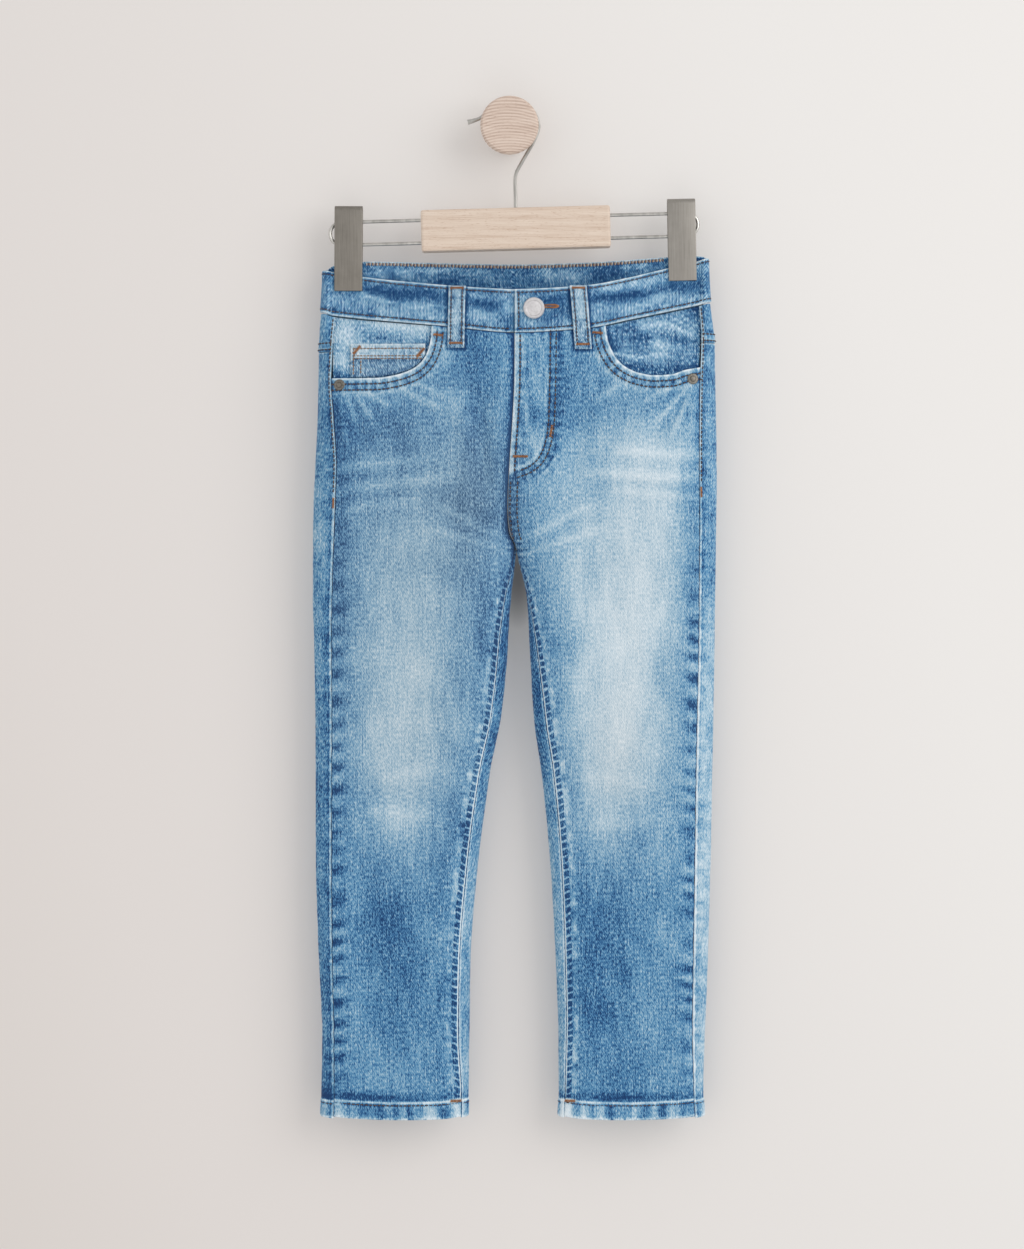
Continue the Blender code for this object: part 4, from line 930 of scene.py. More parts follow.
def band_lines(top, bottom, loop, fleck, patch, over, down):
    """The worn folded edges of the waistband, its stitch rows' grooves and fine ribs beside them."""
    lines = top.line(0.2, 0.85) * (fleck * 0.3 + 0.46) + bottom.line(0.3, 0.85) * (fleck * 0.3 + 0.42)
    rows = top.line(2.4, 0.9) + bottom.line(2.6, 0.9)
    upright = ribs(over, 2.5, patch * 2.5) * bottom.between(3.0, 13.0, 4.0)
    slanted = ribs(over + down, 3.0, patch * 2.0) * top.between(3.0, 8.0, 3.0)
    mottle = (top.between(3.2, 7.0, 1.5) + bottom.between(3.2, 6.0, 1.5)) * patch * 0.3
    # Darker beside the belt loops: painted shade, over unfaded cloth.
    return lines - rows * 0.16 + mottle + (upright + slanted) * 0.09 - loop.line(0.9, 1.1) * 0.36


def new_material(name, roughness, metallic=0.0, specular=0.5):
    """A material with its tree and its Principled shader."""
    material = bpy.data.materials.new(name)
    material.use_nodes = True
    shader = material.node_tree.nodes["Principled BSDF"]
    shader.inputs["Roughness"].default_value = roughness
    shader.inputs["Metallic"].default_value = metallic
    shader.inputs["Specular IOR Level"].default_value = specular
    return material, material.node_tree, shader


def add_bump(tree, shader, height, strength, distance):
    """Feed a height into the shader's normal."""
    bump = tree.nodes.new("ShaderNodeBump")
    bump.inputs["Strength"].default_value = strength
    bump.inputs["Distance"].default_value = distance
    join(tree, height, bump.inputs["Height"])
    join(tree, bump.outputs[0], shader.inputs["Normal"])


def denim(name, twill, grain=1.0, diagonal=0.05, labels=(), formula=None):
    """Washed denim that reads the piece's own UV map, its wash and its distances from seams."""
    material, tree, shader = new_material(name, 0.88, specular=0.2)
    shader.inputs["Sheen Weight"].default_value = 0.12
    shader.inputs["Sheen Roughness"].default_value = 0.5
    uv = tree.nodes.new("ShaderNodeUVMap")
    uv.uv_map = "cloth"
    stores = {}
    for label in ("wash", "inside", *labels):
        store = tree.nodes.new("ShaderNodeAttribute")
        store.attribute_name = label
        stores[label] = Value(tree, store.outputs["Fac"])
    wash = stores["wash"]
    if formula:
        lines = tree.nodes.new("ShaderNodeGroup")
        lines.node_tree = lines_group(name + "_lines", labels, formula)
        join(tree, uv.outputs[0], lines.inputs["Cloth"])
        for label in labels:
            join(tree, stores[label], lines.inputs[label])
        wash = wash + Value(tree, lines.outputs["Wash"])
    group = tree.nodes.new("ShaderNodeGroup")
    group.node_tree = twill
    group.inputs["Grain"].default_value = grain
    group.inputs["Diagonal"].default_value = diagonal
    join(tree, uv.outputs[0], group.inputs["Cloth"])
    join(tree, stores["inside"], group.inputs["Inside"])
    join(tree, wash, group.inputs["Wash"])
    join(tree, group.outputs["Color"], shader.inputs["Base Color"])
    add_bump(tree, shader, group.outputs["Height"], 0.45, 0.0005)
    return material


def object_place(tree):
    """Object coordinates."""
    return tree.nodes.new("ShaderNodeTexCoord").outputs["Object"]


def sewing_thread(name, dark, light):
    """Twisted sewing thread in two close shades."""
    material, tree, shader = new_material(name, 0.7)
    place = object_place(tree)
    shade = noise(tree, place, (700.0, 700.0, 700.0))
    join(tree, shade.ramp(((0.3, dark), (0.7, light))), shader.inputs["Base Color"])
    ply = noise(tree, place, (2600.0, 2600.0, 2600.0), 1.0)
    add_bump(tree, shader, ply, 0.4, 0.0002)
    return material


def brushed_metal(name, dark, light, roughness, brush, bump=0.15):
    """Metal with fine lines across its brush direction, given as scales along X, Y and Z."""
    material, tree, shader = new_material(name, roughness, 1.0)
    place = object_place(tree)
    lines = noise(tree, place, brush, 3.0, 0.6)
    marks = noise(tree, place, (90.0, 90.0, 90.0), 3.0, 0.6)
    shade = lines * 0.7 + marks * 0.3
    join(tree, shade.ramp(((0.3, dark), (0.7, light))), shader.inputs["Base Color"])
    join(tree, lines * 0.16 + (roughness - 0.08), shader.inputs["Roughness"])
    add_bump(tree, shader, lines, bump, 0.0002)
    return material


def pale_wood(name, grain_scale, arched, colours):
    """Pale wood with fine grain lines and short dark flecks."""
    material, tree, shader = new_material(name, 0.62, specular=0.35)
    place = object_place(tree)
    over, _, level = parts_of(tree, place)
    level = level + noise(tree, place, (12.0, 12.0, 30.0)) * 0.004
    if arched:
        level = level + over * over * 9.0
    wave = (level * grain_scale).math("SINE")
    fine = noise(tree, place, (40.0, 300.0, 1500.0), 3.0, 0.6)
    fleck = noise(tree, place, (330.0, 500.0, 1900.0), 1.0).math("GREATER_THAN", 0.66)
    shade = wave * (0.16 if arched else 0.06) + 0.5 + (fine - 0.5) * 0.8 - fleck * 0.22
    join(tree, shade.ramp(colours), shader.inputs["Base Color"])
    add_bump(tree, shader, fine + shade, 0.25, 0.0002)
    return material


# ---------------------------------------------------------------------------------------------
# Sheets of cloth
# ---------------------------------------------------------------------------------------------
EDGE_ROUND = 0.9
EDGE_SINK = 0.42
TOP_SINK = np.array([[EDGE_SINK], [0.14], [0.02]])
LEVEL_ROWS = 296

# Sizes in millimetres that the grids' rows and columns are spaced by.
FRONT_GIRTH = 130.0
BACK_GIRTH = 190.0
YOKE_GIRTH = 150.0
YOKE_HEIGHT = 34.0
BAND_HEIGHT = 31.0

# The hem of each face: an offset for its noise, its mean wash, and the strength, the distance and
# the width of the pale end of the inseam.
HEM_WEAR = {"front": (0.0, 0.42, 0.34, 4.0, 5.0), "back": (300.0, 0.40, 0.20, 2.0, 4.0)}
CLOTH = {"front": front_cloth, "back": back_cloth}


def edge_shares(count, length):
    """Shares from 0 to 1, close together at both ends so that an edge can be rounded."""
    fine = np.array([0.0, 0.35, EDGE_ROUND]) / length
    inner = np.linspace(fine[-1], 1.0 - fine[-1], count)
    return np.concatenate([fine[:2], inner, 1.0 - fine[1::-1]])


def edge_sink(shares, length):
    """How far the cloth's faces close in towards its edges."""
    distance = np.minimum(shares, 1.0 - shares) * length
    return EDGE_SINK * (1.0 - np.clip(distance / EDGE_ROUND, 0.0, 1.0)) ** 2


def grid_shares(rows, row_length, columns, column_length):
    """Row and column shares of a sheet, with its edge sink."""
    down = edge_shares(rows, row_length)[:, None]
    over = edge_shares(columns, column_length)
    sink = np.maximum(edge_sink(down, row_length), edge_sink(over, column_length))
    return down + 0 * over, over + 0 * down, sink


def face_outwards(mesh):
    """Turn the faces of a closed mesh outwards, and shade it smooth."""
    shell = bmesh.new()
    shell.from_mesh(mesh)
    bmesh.ops.recalc_face_normals(shell, faces=shell.faces)
    shell.to_mesh(mesh)
    shell.free()
    mesh.polygons.foreach_set("use_smooth", [True] * len(mesh.polygons))


def new_item(name, mesh, material):
    """An object in the scene, with one material."""
    item = bpy.data.objects.new(name, mesh)
    bpy.context.scene.collection.objects.link(item)
    mesh.materials.clear()
    mesh.materials.append(material)
    return item


def sew(name, node, outer, inner, wash, chart, material, slot, cut, inside=1.0, lines=None,
        grey=0.0):
    """A closed sheet of cloth between two grids of points, which stands for a CAD node.

    cut is the width, the length and the area of the flat piece, in metres; it is not used. lines holds
    distances from seams and edges, which the material draws fine lines by.
    """
    rows, columns = wash.shape
    shift = rows * columns
    index = np.arange(shift).reshape(rows, columns)
    quads = np.stack([index[:-1, :-1], index[1:, :-1], index[1:, 1:], index[:-1, 1:]], -1).reshape(-1, 4)
    rim = np.concatenate([index[0, :], index[1:, -1], index[-1, -2::-1], index[-2:0:-1, 0]])
    rim_next = np.roll(rim, -1)
    rim_faces = np.stack([rim, rim_next, rim_next + shift, rim + shift], -1)
    faces = np.concatenate([quads, quads[:, ::-1] + shift, rim_faces])
    points = np.concatenate([outer.reshape(-1, 3), inner.reshape(-1, 3)])
    mesh = bpy.data.meshes.new(name)
    mesh.from_pydata(points.tolist(), [], faces.tolist())
    layer = mesh.uv_layers.new(name="cloth")
    corners = np.empty(len(mesh.loops), dtype=np.int32)
    mesh.loops.foreach_get("vertex_index", corners)
    chart_points = np.concatenate([chart.reshape(-1, 2)] * 2) * MM
    layer.data.foreach_set("uv", chart_points[corners].ravel())
    stores = {"wash": wash, "inside": np.full(wash.shape, grey), **(lines or {})}
    inner_values = {"inside": np.full(shift, inside), "loop": np.full(shift, FAR_AWAY)}
    for label, values in stores.items():
        back = inner_values.get(label, values.ravel())
        store = mesh.attributes.new(label, "FLOAT", "POINT")
        store.data.foreach_set("value", np.concatenate([values.ravel(), back]).astype(np.float32))
    face_outwards(mesh)
    item = new_item(name, mesh, material)
    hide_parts(node)
    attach(item, "root")


def unfolded(ring, across, arc):
    """A chart coordinate that runs on past the folds."""
    past = ring.closed & (arc > ring.total)
    flat = np.where(arc < 0.0, 2.0 * ring.outer - across, across)
    return np.where(past, 2.0 * ring.inner - across, flat)


def fold_share(ring, arc):
    """Share of a face's width at an arc length, which runs back again past the inner fold."""
    share = np.abs(arc) / ring.total
    return np.where(share > 1, 2 - share, share)


def through(share, stops, arcs):
    """Arc lengths that run evenly from each stop among the shares to the next."""
    result = arcs[0]
    for low, high, start, end in zip(stops, stops[1:], arcs, arcs[1:]):
        result = np.where(share < low, result, start + (end - start) * (share - low) / (high - low))
    return result


def front_arc(ring, share):
    """Arc length on the front from the outseam to the inner seam."""
    start = ring.outseam_arc() + HALF_GAP
    end = ring.total - ring.inseam_rest() - HALF_GAP
    return through(share, (0.0, 0.74, 1.0), (start, ring.inner_start, end))


def wrap_arc(ring, share):
    """Arc length on the back from the outseam, round both folds, to the inner seam."""
    start = HALF_GAP - ring.outseam_arc()
    turn = np.maximum(ring.outer_quarter, FOLD_ARC)
    end = ring.total + ring.inseam_rest() - HALF_GAP
    return through(share, (0.0, 0.34, 0.72, 1.0), (start, turn, ring.inner_start, end))


def hem_rises(above, sink):
    """Outer and inner rise of cloth with a doubled hem."""
    turned = within(above, HEM_TURN_UP)
    bottom = 0.55 * (1.0 - np.clip(above, 0.0, 1.0)) ** 2
    return -sink - bottom, -CLOTH_WALL - 0.3 * turned + sink + bottom


def level_rows(shares):
    """Drops from the level start to the hem, close together at the end, for every column."""
    rows = np.linspace(LEVEL_START, HEM_BOTTOM - EDGE_ROUND, LEVEL_ROWS)
    rows = np.concatenate([rows, [HEM_BOTTOM - 0.35, HEM_BOTTOM]])
    return rows[:, None] + np.zeros(shares.shape)


def panel(half, face, arc, drop, side_sink, around, material, cut):
    """A front or back panel over a grid that starts at an edge and ends in a turned-up hem."""
    offset, hem_wash, gain, place, width = HEM_WEAR[face]
    above = drop[-1:] - drop
    sink = side_sink + np.zeros(drop.shape)
    sink[:3] = np.maximum(sink[:3], TOP_SINK)
    rise, wash, lines = CLOTH[face](half, arc, drop)
    lines["hem"] = above
    turned_rise, turned_wash = hem_relief(half, around + offset, above)
    calm = 1.0 - within(above, HEM_TURN_UP) * 0.6
    rise = rise * calm + turned_rise
    wash = wash * calm + hem_wash * (1 - calm) + turned_wash
    wash += gain * within(above, HEM_TURN_UP + 2.5) * near(lines["inseam"] - place, width)
    outer_rise, inner_rise = hem_rises(above, sink)
    outer = raised(half, face, arc, drop, outer_rise + rise)
    inner = raised(half, face, arc, drop, inner_rise + rise * 0.6)
    node = face + "_" + half
    slot = "denim_pale" if face == "front" else "denim_mid"
    sew("denim_" + node, node, outer, inner, wash, np.stack([around, drop], -1), material, slot, cut,
        lines=lines)


def front_panel(half, material, cut):
    """A front panel from the waistband and the pocket scoop to the hem."""
    shares = edge_shares(84, FRONT_GIRTH)
    scoop = SCOOP_LINES[half]
    middle = float(section("inner_left", MIDDLE_TOP_DROP)) + side_of(half) * HALF_GAP
    band_across = np.linspace(scoop[-1, 0], middle, 24)[1:]
    band_drop = waist("front_bottom", band_across) + 2 * HALF_GAP
    line = np.concatenate([scoop, np.stack([band_across, band_drop], -1)])
    lengths = lengths_along(line)
    top_across, top_drop = [np.interp(shares * lengths[-1], lengths, line[:, k]) for k in (0, 1)]
    top_rows = np.concatenate([[0.0, 0.008, 0.02], np.linspace(0.045, 1.0, 40)[:-1]])[:, None]
    low = Ring(half, LEVEL_START)
    low_across = low.across(front_arc(low, shares))
    drop = top_drop + (LEVEL_START - top_drop) * top_rows
    across = top_across + (low_across - top_across) * top_rows
    ring = Ring(half, drop)
    arc = ring.arc(across)
    exact = front_arc(ring, shares)
    arc = arc + (exact[:, :1] - arc[:, :1]) * (1 - shares) + (exact[:, -1:] - arc[:, -1:]) * shares
    level = level_rows(shares)
    level = level + hem_shift(level, shares)
    drop = np.concatenate([drop, level])
    arc = np.concatenate([arc, front_arc(Ring(half, level), shares)])
    across = Ring(half, drop).across(arc)
    panel(half, "front", arc, drop, edge_sink(shares, FRONT_GIRTH), across, material, cut)


def meet(half, share, edge):
    """The drops at which columns meet an edge that is given over face and across."""
    drop = np.full(share.shape, FIRST_GUESS_DROP)
    for _ in range(8):
        arc = wrap_arc(Ring(half, drop), share)
        _, front, across = settle(half, "back", arc, drop)
        drop = edge(front, across)
    return drop


def back_panel(half, material, cut):
    """A back panel from the yoke seam to the hem, wrapping round to the front seams."""
    shares = edge_shares(92, BACK_GIRTH)
    top = meet(half, shares, lambda front, across: yoke_seam_drop(across) + HALF_GAP)
    top_rows = np.concatenate([[0.0, 0.009, 0.024], np.linspace(0.05, 1.0, 24)[:-1]])
    level = level_rows(shares)
    ring = Ring(half, level)
    level = level + hem_shift(level, fold_share(ring, wrap_arc(ring, shares)))
    drop = np.concatenate([top + (LEVEL_START - top) * top_rows[:, None], level])
    arc = wrap_arc(Ring(half, drop), shares)
    ring, _, across = settle(half, "back", arc, drop)
    around = unfolded(ring, across, arc)
    panel(half, "back", arc, drop, edge_sink(shares, BACK_GIRTH), around, material, cut)


def yoke(half, material, cut):
    """A yoke between the waistband and the back panel."""
    down, over, sink = grid_shares(22, YOKE_HEIGHT, 92, YOKE_GIRTH)
    top = meet(half, over[0], lambda front, across: face_waist("bottom", front, across) + 0.9)
    low = meet(half, over[0], lambda front, across: yoke_seam_drop(across) - HALF_GAP)
    drop = top + (low - top) * down
    arc = wrap_arc(Ring(half, drop), over)
    rise, wash, lines = back_cloth(half, arc, drop)
    lines["hem"] = np.full(drop.shape, FAR_AWAY)
    ring, _, across = settle(half, "back", arc, drop)
    outer = raised(half, "back", arc, drop, rise - sink)
    inner = raised(half, "back", arc, drop, rise * 0.6 + sink - CLOTH_WALL)
    chart = np.stack([unfolded(ring, across, arc), drop], -1)
    sew("denim_yoke_" + half, "yoke_" + half, outer, inner, wash, chart, material, "denim_mid", cut,
        lines=lines)


BAND_OUTER = 0.8
BAND_INNER = -1.6
BAND_NOMINAL_DROP = 118.0
FOLD_ARC = 16.0
UNDERLAP_SINK = 2.8
UNDERLAP_END = 33.0


def band_arc(half, arc, drop):
    """Carry an arc length of the band to another drop, straight down away from the fold."""
    nominal = Ring(half, BAND_NOMINAL_DROP)
    level = Ring(half, drop)
    fold = level.arc(nominal.across(FOLD_ARC)) * arc / FOLD_ARC
    return np.where(arc >= FOLD_ARC, level.arc(nominal.across(arc)), fold)


def waistband(material, cut):
    """One doubled strip from the underlap at the fly, round the waist, to the overlap."""
    level = {half: Ring(half, BAND_NOMINAL_DROP) for half in HALVES}
    end = float(level["right"].total)
    fine = np.arange(0.0, FOLD_ARC, 0.7)
    left = np.concatenate([fine, np.linspace(FOLD_ARC, float(level["left"].total), 66)])
    right = np.concatenate([fine, np.linspace(FOLD_ARC, end, 68)])
    underlap = np.linspace(float(level["right"].arc(UNDERLAP_END)), end - 0.4, 16)
    overlap = np.concatenate([right[1:-1], [end - 1.2, end - 0.65, end - 0.3]])
    rows = edge_shares(16, BAND_HEIGHT)
    stretches = []
    travelled = 0.0
    for half, face, arcs in (
        ("right", "front", underlap), ("left", "front", left[::-1]), ("left", "back", left[1:-1]),
        ("right", "back", right[::-1]), ("right", "front", overlap),
    ):
        across = level[half].across(arcs)
        top = waist(face + "_top", across)
        low = waist(face + "_bottom", across)
        drop = top + (low - top) * rows[:, None]
        arc = band_arc(half, arcs, drop)
        sunk = 1.0 if arcs is underlap else 0.0
        if (half, face) == ("left", "front"):
            sunk = smooth_step((across + 6.0) / 9.6)
        sink = UNDERLAP_SINK * sunk
        rise, wash, lines = band_cloth(half, face, arc, drop)
        rise = rise * (1.0 - 0.8 * sunk)
        edge = 2.0 * edge_sink(rows, BAND_HEIGHT)[:, None] + np.zeros(drop.shape)
        if arcs is overlap:
            edge[:, -3:] = np.maximum(edge[:, -3:], [0.1, 0.4, 0.8])
        around = travelled + np.cumsum(np.abs(np.diff(arcs, prepend=arcs[0])))
        travelled = around[-1] + 0.5
        stretches.append({
            "outer": raised(half, face, arc, drop, BAND_OUTER - edge - sink + rise),
            "inner": raised(half, face, arc, drop, BAND_INNER + edge - sink + rise * 0.5),
            "wash": wash,
            "chart": np.stack([around + np.zeros(drop.shape), drop], -1),
            **lines,
        })
    whole = {
        label: np.concatenate([stretch[label] for stretch in stretches], 1) for label in stretches[0]
    }
    grids = [whole.pop(label) for label in ("outer", "inner", "wash", "chart")]
    sew("denim_waistband", "waistband", *grids, material, "denim_mid", cut, inside=0.0, lines=whole)


def patch_points(face, across, drop, rise):
    """Points off the form for a patch given by places across, whichever halves it covers."""
    middle = section("inner_left", np.minimum(drop, CROTCH_DROP))
    left, right = [raised(half, face, Ring(half, drop).arc(across), drop, rise) for half in HALVES]
    return np.where((across < middle)[..., None], left, right)


def patch(node, face, across, drop, outer_rise, inner_rise, relief, wash, material, slot, cut,
          inside=1.0, grey=0.0, name=None):
    """A sheet given over places across and drops, whose outside may be washed greyer."""
    outer = patch_points(face, across, drop, outer_rise + relief)
    inner = patch_points(face, across, drop, inner_rise + relief * 0.5)
    chart = np.stack([across, drop], -1)
    sew(name or "denim_" + node, node, outer, inner, wash, chart, material, slot, cut, inside, grey=grey)


# Pale and dark strokes on the cloth inside the pocket scoops.
FACING_STROKES = {
    "front": (
        (-122, 140, -60, 146, 5.0, 0.08), (-118, 150, -70, 154, 3.0, -0.08),
        (74, 146, 96, 146, 3.0, -0.16), (94, 145, 112, 141, 3.4, 0.26),
        (112, 141, 134, 151, 1.5, 0.30), (78, 154, 102, 152, 3.0, -0.26),
        (108, 149, 130, 156, 2.4, -0.16), (100, 155, 122, 161, 2.6, 0.16),
        (72, 163, 94, 167, 1.5, 0.26), (94, 167, 108, 164, 1.5, 0.24),
        (108, 164, 132, 170, 1.6, 0.20), (84, 172, 126, 175, 2.6, -0.20),
    ),
}


def pocket_facing(half, material, cut):
    """The denim inside a pocket scoop."""
    down, over, sink = grid_shares(34, 46.0, 50, 80.0)
    line = SCOOP_LINES[half]
    places = np.linspace(0, 1, len(line))
    lean = over**2
    low_across = np.interp(over, places, line[:, 0]) - side_of(half) * 9.0 * lean
    low_drop = np.interp(over, places, line[:, 1]) + 9.0 * (1.0 - lean) + 14.0 * lean**4
    ring = Ring(half, 160.0)
    seam = float(ring.across(ring.outseam_arc() + 2 * HALF_GAP))
    top_across = seam + (low_across - seam) * over
    top_drop = waist("front_bottom", top_across) + 2 * HALF_GAP
    across = top_across + (low_across - top_across) * down
    drop = top_drop + (low_drop - top_drop) * down
    seed = SEEDS["facing"][half == "right"]
    relief = 0.25 * soft_noise(across, drop, 16.0, seed)
    scoop, along = line_distance(across, drop, line)
    wash = (0.58 if half == "left" else 0.33) + 0.15 * soft_noise(across, drop, 12.0, seed + 1)
    wash += 0.12 * soft_noise(across, drop * 3.0, 30.0, seed + 2)
    wash += line_relief(FACING_STROKES, True, across, drop)
    # The wash darkens close to the scoop's edge: painted shadow of the pocket's edge on the facing.
    wash -= 0.30 * near(scoop, 4.5) - 0.12 * ripple(along, 9.0, seed + 3) * near(scoop, 9.0)
    wash -= 0.10 * near(np.abs(across - seam), 5.0)
    patch("pocket_facing_" + half, "front", across, drop, -1.9 - sink, -2.9 + sink, relief, wash,
          material, "denim_pale", cut, name="denim_facing_" + half)


COIN_LEFT = -114.1
COIN_WIDTH = 53.6
COIN_TOP = 157.0


def coin_pocket(material, cut):
    """The small pocket on the left facing."""
    down, over, sink = grid_shares(18, 25.0, 34, 54.0)
    line = SCOOP_LINES["left"]
    seed = SEEDS["coin"]
    across = COIN_LEFT + COIN_WIDTH * over
    low = np.interp(across, line[:, 0], line[:, 1]) - 1.0
    drop = COIN_TOP + (low - COIN_TOP) * down
    from_top = drop - COIN_TOP
    from_left = across - COIN_LEFT
    rope = ripple(across, 7.0, seed)
    relief = 0.3 * within(from_top, 11.2) + 0.15 * rope * near(from_top - 6.0, 5.0)
    relief -= 0.2 * near(from_top - 3.2, 0.6) + 0.2 * near(from_top - 9.8, 0.6)
    wash = 0.40 + 0.12 * soft_noise(across, drop, 9.0, seed + 2) + 0.14 * rope * near(from_top - 6.0, 6.0)
    wash += 0.22 * within(from_top, 11.0) + 0.2 * near(from_top, 1.0) - 0.16 * near(from_top - 12.4, 1.4)
    wash += 0.16 * near(from_left, 1.0) - 0.12 * near(from_left - 3.0, 2.0)
    wash -= 0.16 * near(drop - low, 2.6)
    patch("coin_pocket", "front", across, drop, -0.4 - sink, -1.4 + sink, relief, wash, material,
          "denim_pale", cut, grey=0.3)


# The back pockets: from and to across at the top and at the lower corners, and the drops of the
# top, the corners and the point.
BACK_POCKETS = {
    "left": (-101.0, -27.0, -96.0, -32.0, 186.0, 254.0, 267.0),
    "right": (108.0, 34.0, 103.0, 39.0, 183.0, 251.0, 264.0),
}
POCKET_LENGTH = 78.0
POCKET_WIDTH = 70.0
POCKET_SIDE = 76.0


def pocket_place(half, over, down):
    """Places across and drops on a back pocket."""
    top_from, top_to, low_from, low_to, top, corner, point = BACK_POCKETS[half]
    low = corner + (point - corner) * (1.0 - np.abs(2.0 * over - 1.0))
    start = top_from + (low_from - top_from) * down
    end = top_to + (low_to - top_to) * down
    return start + (end - start) * over, top + (low - top) * down


def back_pocket(half, material, cut):
    """A five-sided patch on a back panel."""
    down, over, sink = grid_shares(52, POCKET_LENGTH, 48, POCKET_WIDTH + 2.0)
    across, drop = pocket_place(half, over, down)
    seed = SEEDS["back_pocket"][half == "right"]
    from_top = down * POCKET_LENGTH
    from_side = np.minimum(over, 1 - over) * POCKET_WIDTH
    border = np.minimum(from_side, (1 - down) * POCKET_SIDE)
    rope = ripple(across, 7.5, seed)
    edge_rope = ripple(drop + across * 0.6, 7.0, seed + 2)
    relief = 0.3 * soft_noise(across, drop, 22.0, seed + 1) * np.minimum(from_side / 8.0, 1.0)
    relief += 0.35 * within(from_top, 14.0) + 0.2 * rope * near(from_top - 7.0, 7.0)
    relief -= 0.22 * near(border - 2.0, 0.6) + 0.22 * near(border - 7.5, 0.6)
    relief += 0.15 * edge_rope * near(border - 5.0, 4.0)
    wash = 0.44 + 0.16 * near(from_side - 34.0, 24.0) + 0.10 * soft_noise(across, drop, 14.0, seed + 3)
    wash += 0.24 * near(np.minimum(border, from_top), 1.0) + 0.12 * edge_rope * near(border - 4.0, 5.0)
    wash += 0.12 * rope * near(from_top - 7.0, 7.0) + 0.16 * near(from_top - 14.6, 1.0)
    patch("back_pocket_" + half, "back", across, drop, 1.6 - sink, 0.5 + sink, relief, wash, material,
          "denim_dark", cut)


LOOP_WIDTH = 12.0
LOOP_LENGTH = 46.0
LOOP_REACH = 15.0
LOOP_THICK = 1.4
LOOPS = (
    ("belt_loop_front_left", "front", -37.4, -38.5),
    ("belt_loop_front_right", "front", 49.1, 53.0),
    ("belt_loop_back_left", "back", -78.0, -79.0),
    ("belt_loop_back_middle", "back", 4.2, 3.8),
    ("belt_loop_back_right", "back", 86.0, 87.0),
)


def loop_place(row, over, down):
    """Places across, drops and rise of a belt loop's inner face."""
    _, face, top_across, low_across = row
    top = float(waist(face + "_top", top_across))
    low = float(waist(face + "_bottom", low_across))
    end = low + LOOP_REACH
    drop = top + (end - top) * down
    across = top_across + (low_across - top_across) * down + (over - 0.5) * LOOP_WIDTH
    rise = 1.25 - 0.75 * smooth_step((drop - low - 1.2) / 3.6)
    arch = np.sin(np.clip((drop - top) / (low - top), 0, 1) * math.pi) * 0.7
    return across, drop, rise + arch


def belt_loop(row, material, cut):
    """A folded strip sewn over the waistband."""
    down, over, sink = grid_shares(36, LOOP_LENGTH, 14, LOOP_WIDTH)
    across, drop, rise = loop_place(row, over, down)
    seed = SEEDS["loop"] + 4 * LOOPS.index(row)
    rope = ripple(drop, 6.0, seed)
    aside = np.abs(over - 0.5) * LOOP_WIDTH
    relief = 0.16 * rope * near(aside - 5.0, 2.0) - 0.2 * near(aside - 3.9, 0.5)
    relief += 0.25 * near(aside - 6.0, 1.2)
    wash = 0.38 + 0.22 * soft_noise(across, drop, 5.0, seed + 1) + 0.2 * rope * near(aside - 4.6, 2.2)
    wash += 0.30 * near(aside - 5.9, 0.9) + 0.22 * near(down * LOOP_LENGTH, 1.4)
    wash += 0.20 * near((1 - down) * LOOP_LENGTH, 1.4) + 0.10 * near(aside, 2.4)
    wash -= 0.16 * near(aside - 4.0, 0.8)
    patch(row[0], row[1], across, drop, rise + LOOP_THICK - 1.6 * sink, rise + 1.2 * sink, relief, wash,
          material, "denim_dark", cut, inside=0.0, grey=0.25)


# ---------------------------------------------------------------------------------------------
# Sewing
# ---------------------------------------------------------------------------------------------
STITCH_LIFT = 0.28


def point_at(lengths, points, place):
    """The point, or the normal, at a length along a row."""
    return np.array([np.interp(place, lengths, points[:, k]) for k in range(3)])


class Thread:
    """Collects stitches and bartacks as one joined mesh."""

    ring = np.array([(1.0, 0.0), (0.0, 1.0), (-1.0, 0.0), (0.0, -0.5)])
    stations = ((-0.5, 0.35), (-0.3, 1.0), (0.3, 1.0), (0.5, 0.35))

    def __init__(self, name):
        self.name = name
        self.points = []
        self.faces = []

    def bead(self, start, end, normal, width, height):
        """One stitch from start to end, lying on a surface with the given normal."""
        base = len(self.points)
        length = np.linalg.norm(end - start)
        way = (end - start) / length
        aside = unit(np.cross(way, normal))
        middle = (start + end) / 2
        for along, size in self.stations:
            for a, b in self.ring:
                self.points.append(
                    middle + way * along * length + aside * a * size * width / 2
                    + normal * b * size * height
                )
        for first in (base, base + 4, base + 8):
            for j in range(4):
                k = (j + 1) % 4
                self.faces.append((first + j, first + k, first + 4 + k, first + 4 + j))
        self.faces.append((base, base + 3, base + 2, base + 1))
        self.faces.append((base + 12, base + 13, base + 14, base + 15))

    def row(self, points, normals, pitch=3.1, length=2.4, width=1.05, height=0.5):
        """A row of stitches along a line of points in metres."""
        lengths = lengths_along(points)
        for k in range(int(lengths[-1] / (pitch * MM))):
            middle = (k + 0.5) * pitch * MM
            reach = length * MM / 2
            ends = [point_at(lengths, points, middle + step) for step in (-reach, reach)]
            normal = unit(point_at(lengths, normals, middle - reach))
            self.bead(*ends, normal, width * MM, height * MM)

    def make(self, material):
        """The joined mesh, which rides with the jeans."""
        mesh = bpy.data.meshes.new(self.name)
        mesh.from_pydata([tuple(point) for point in self.points], [], self.faces)
        face_outwards(mesh)
        item = new_item(self.name, mesh, material)
        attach(item, "root")


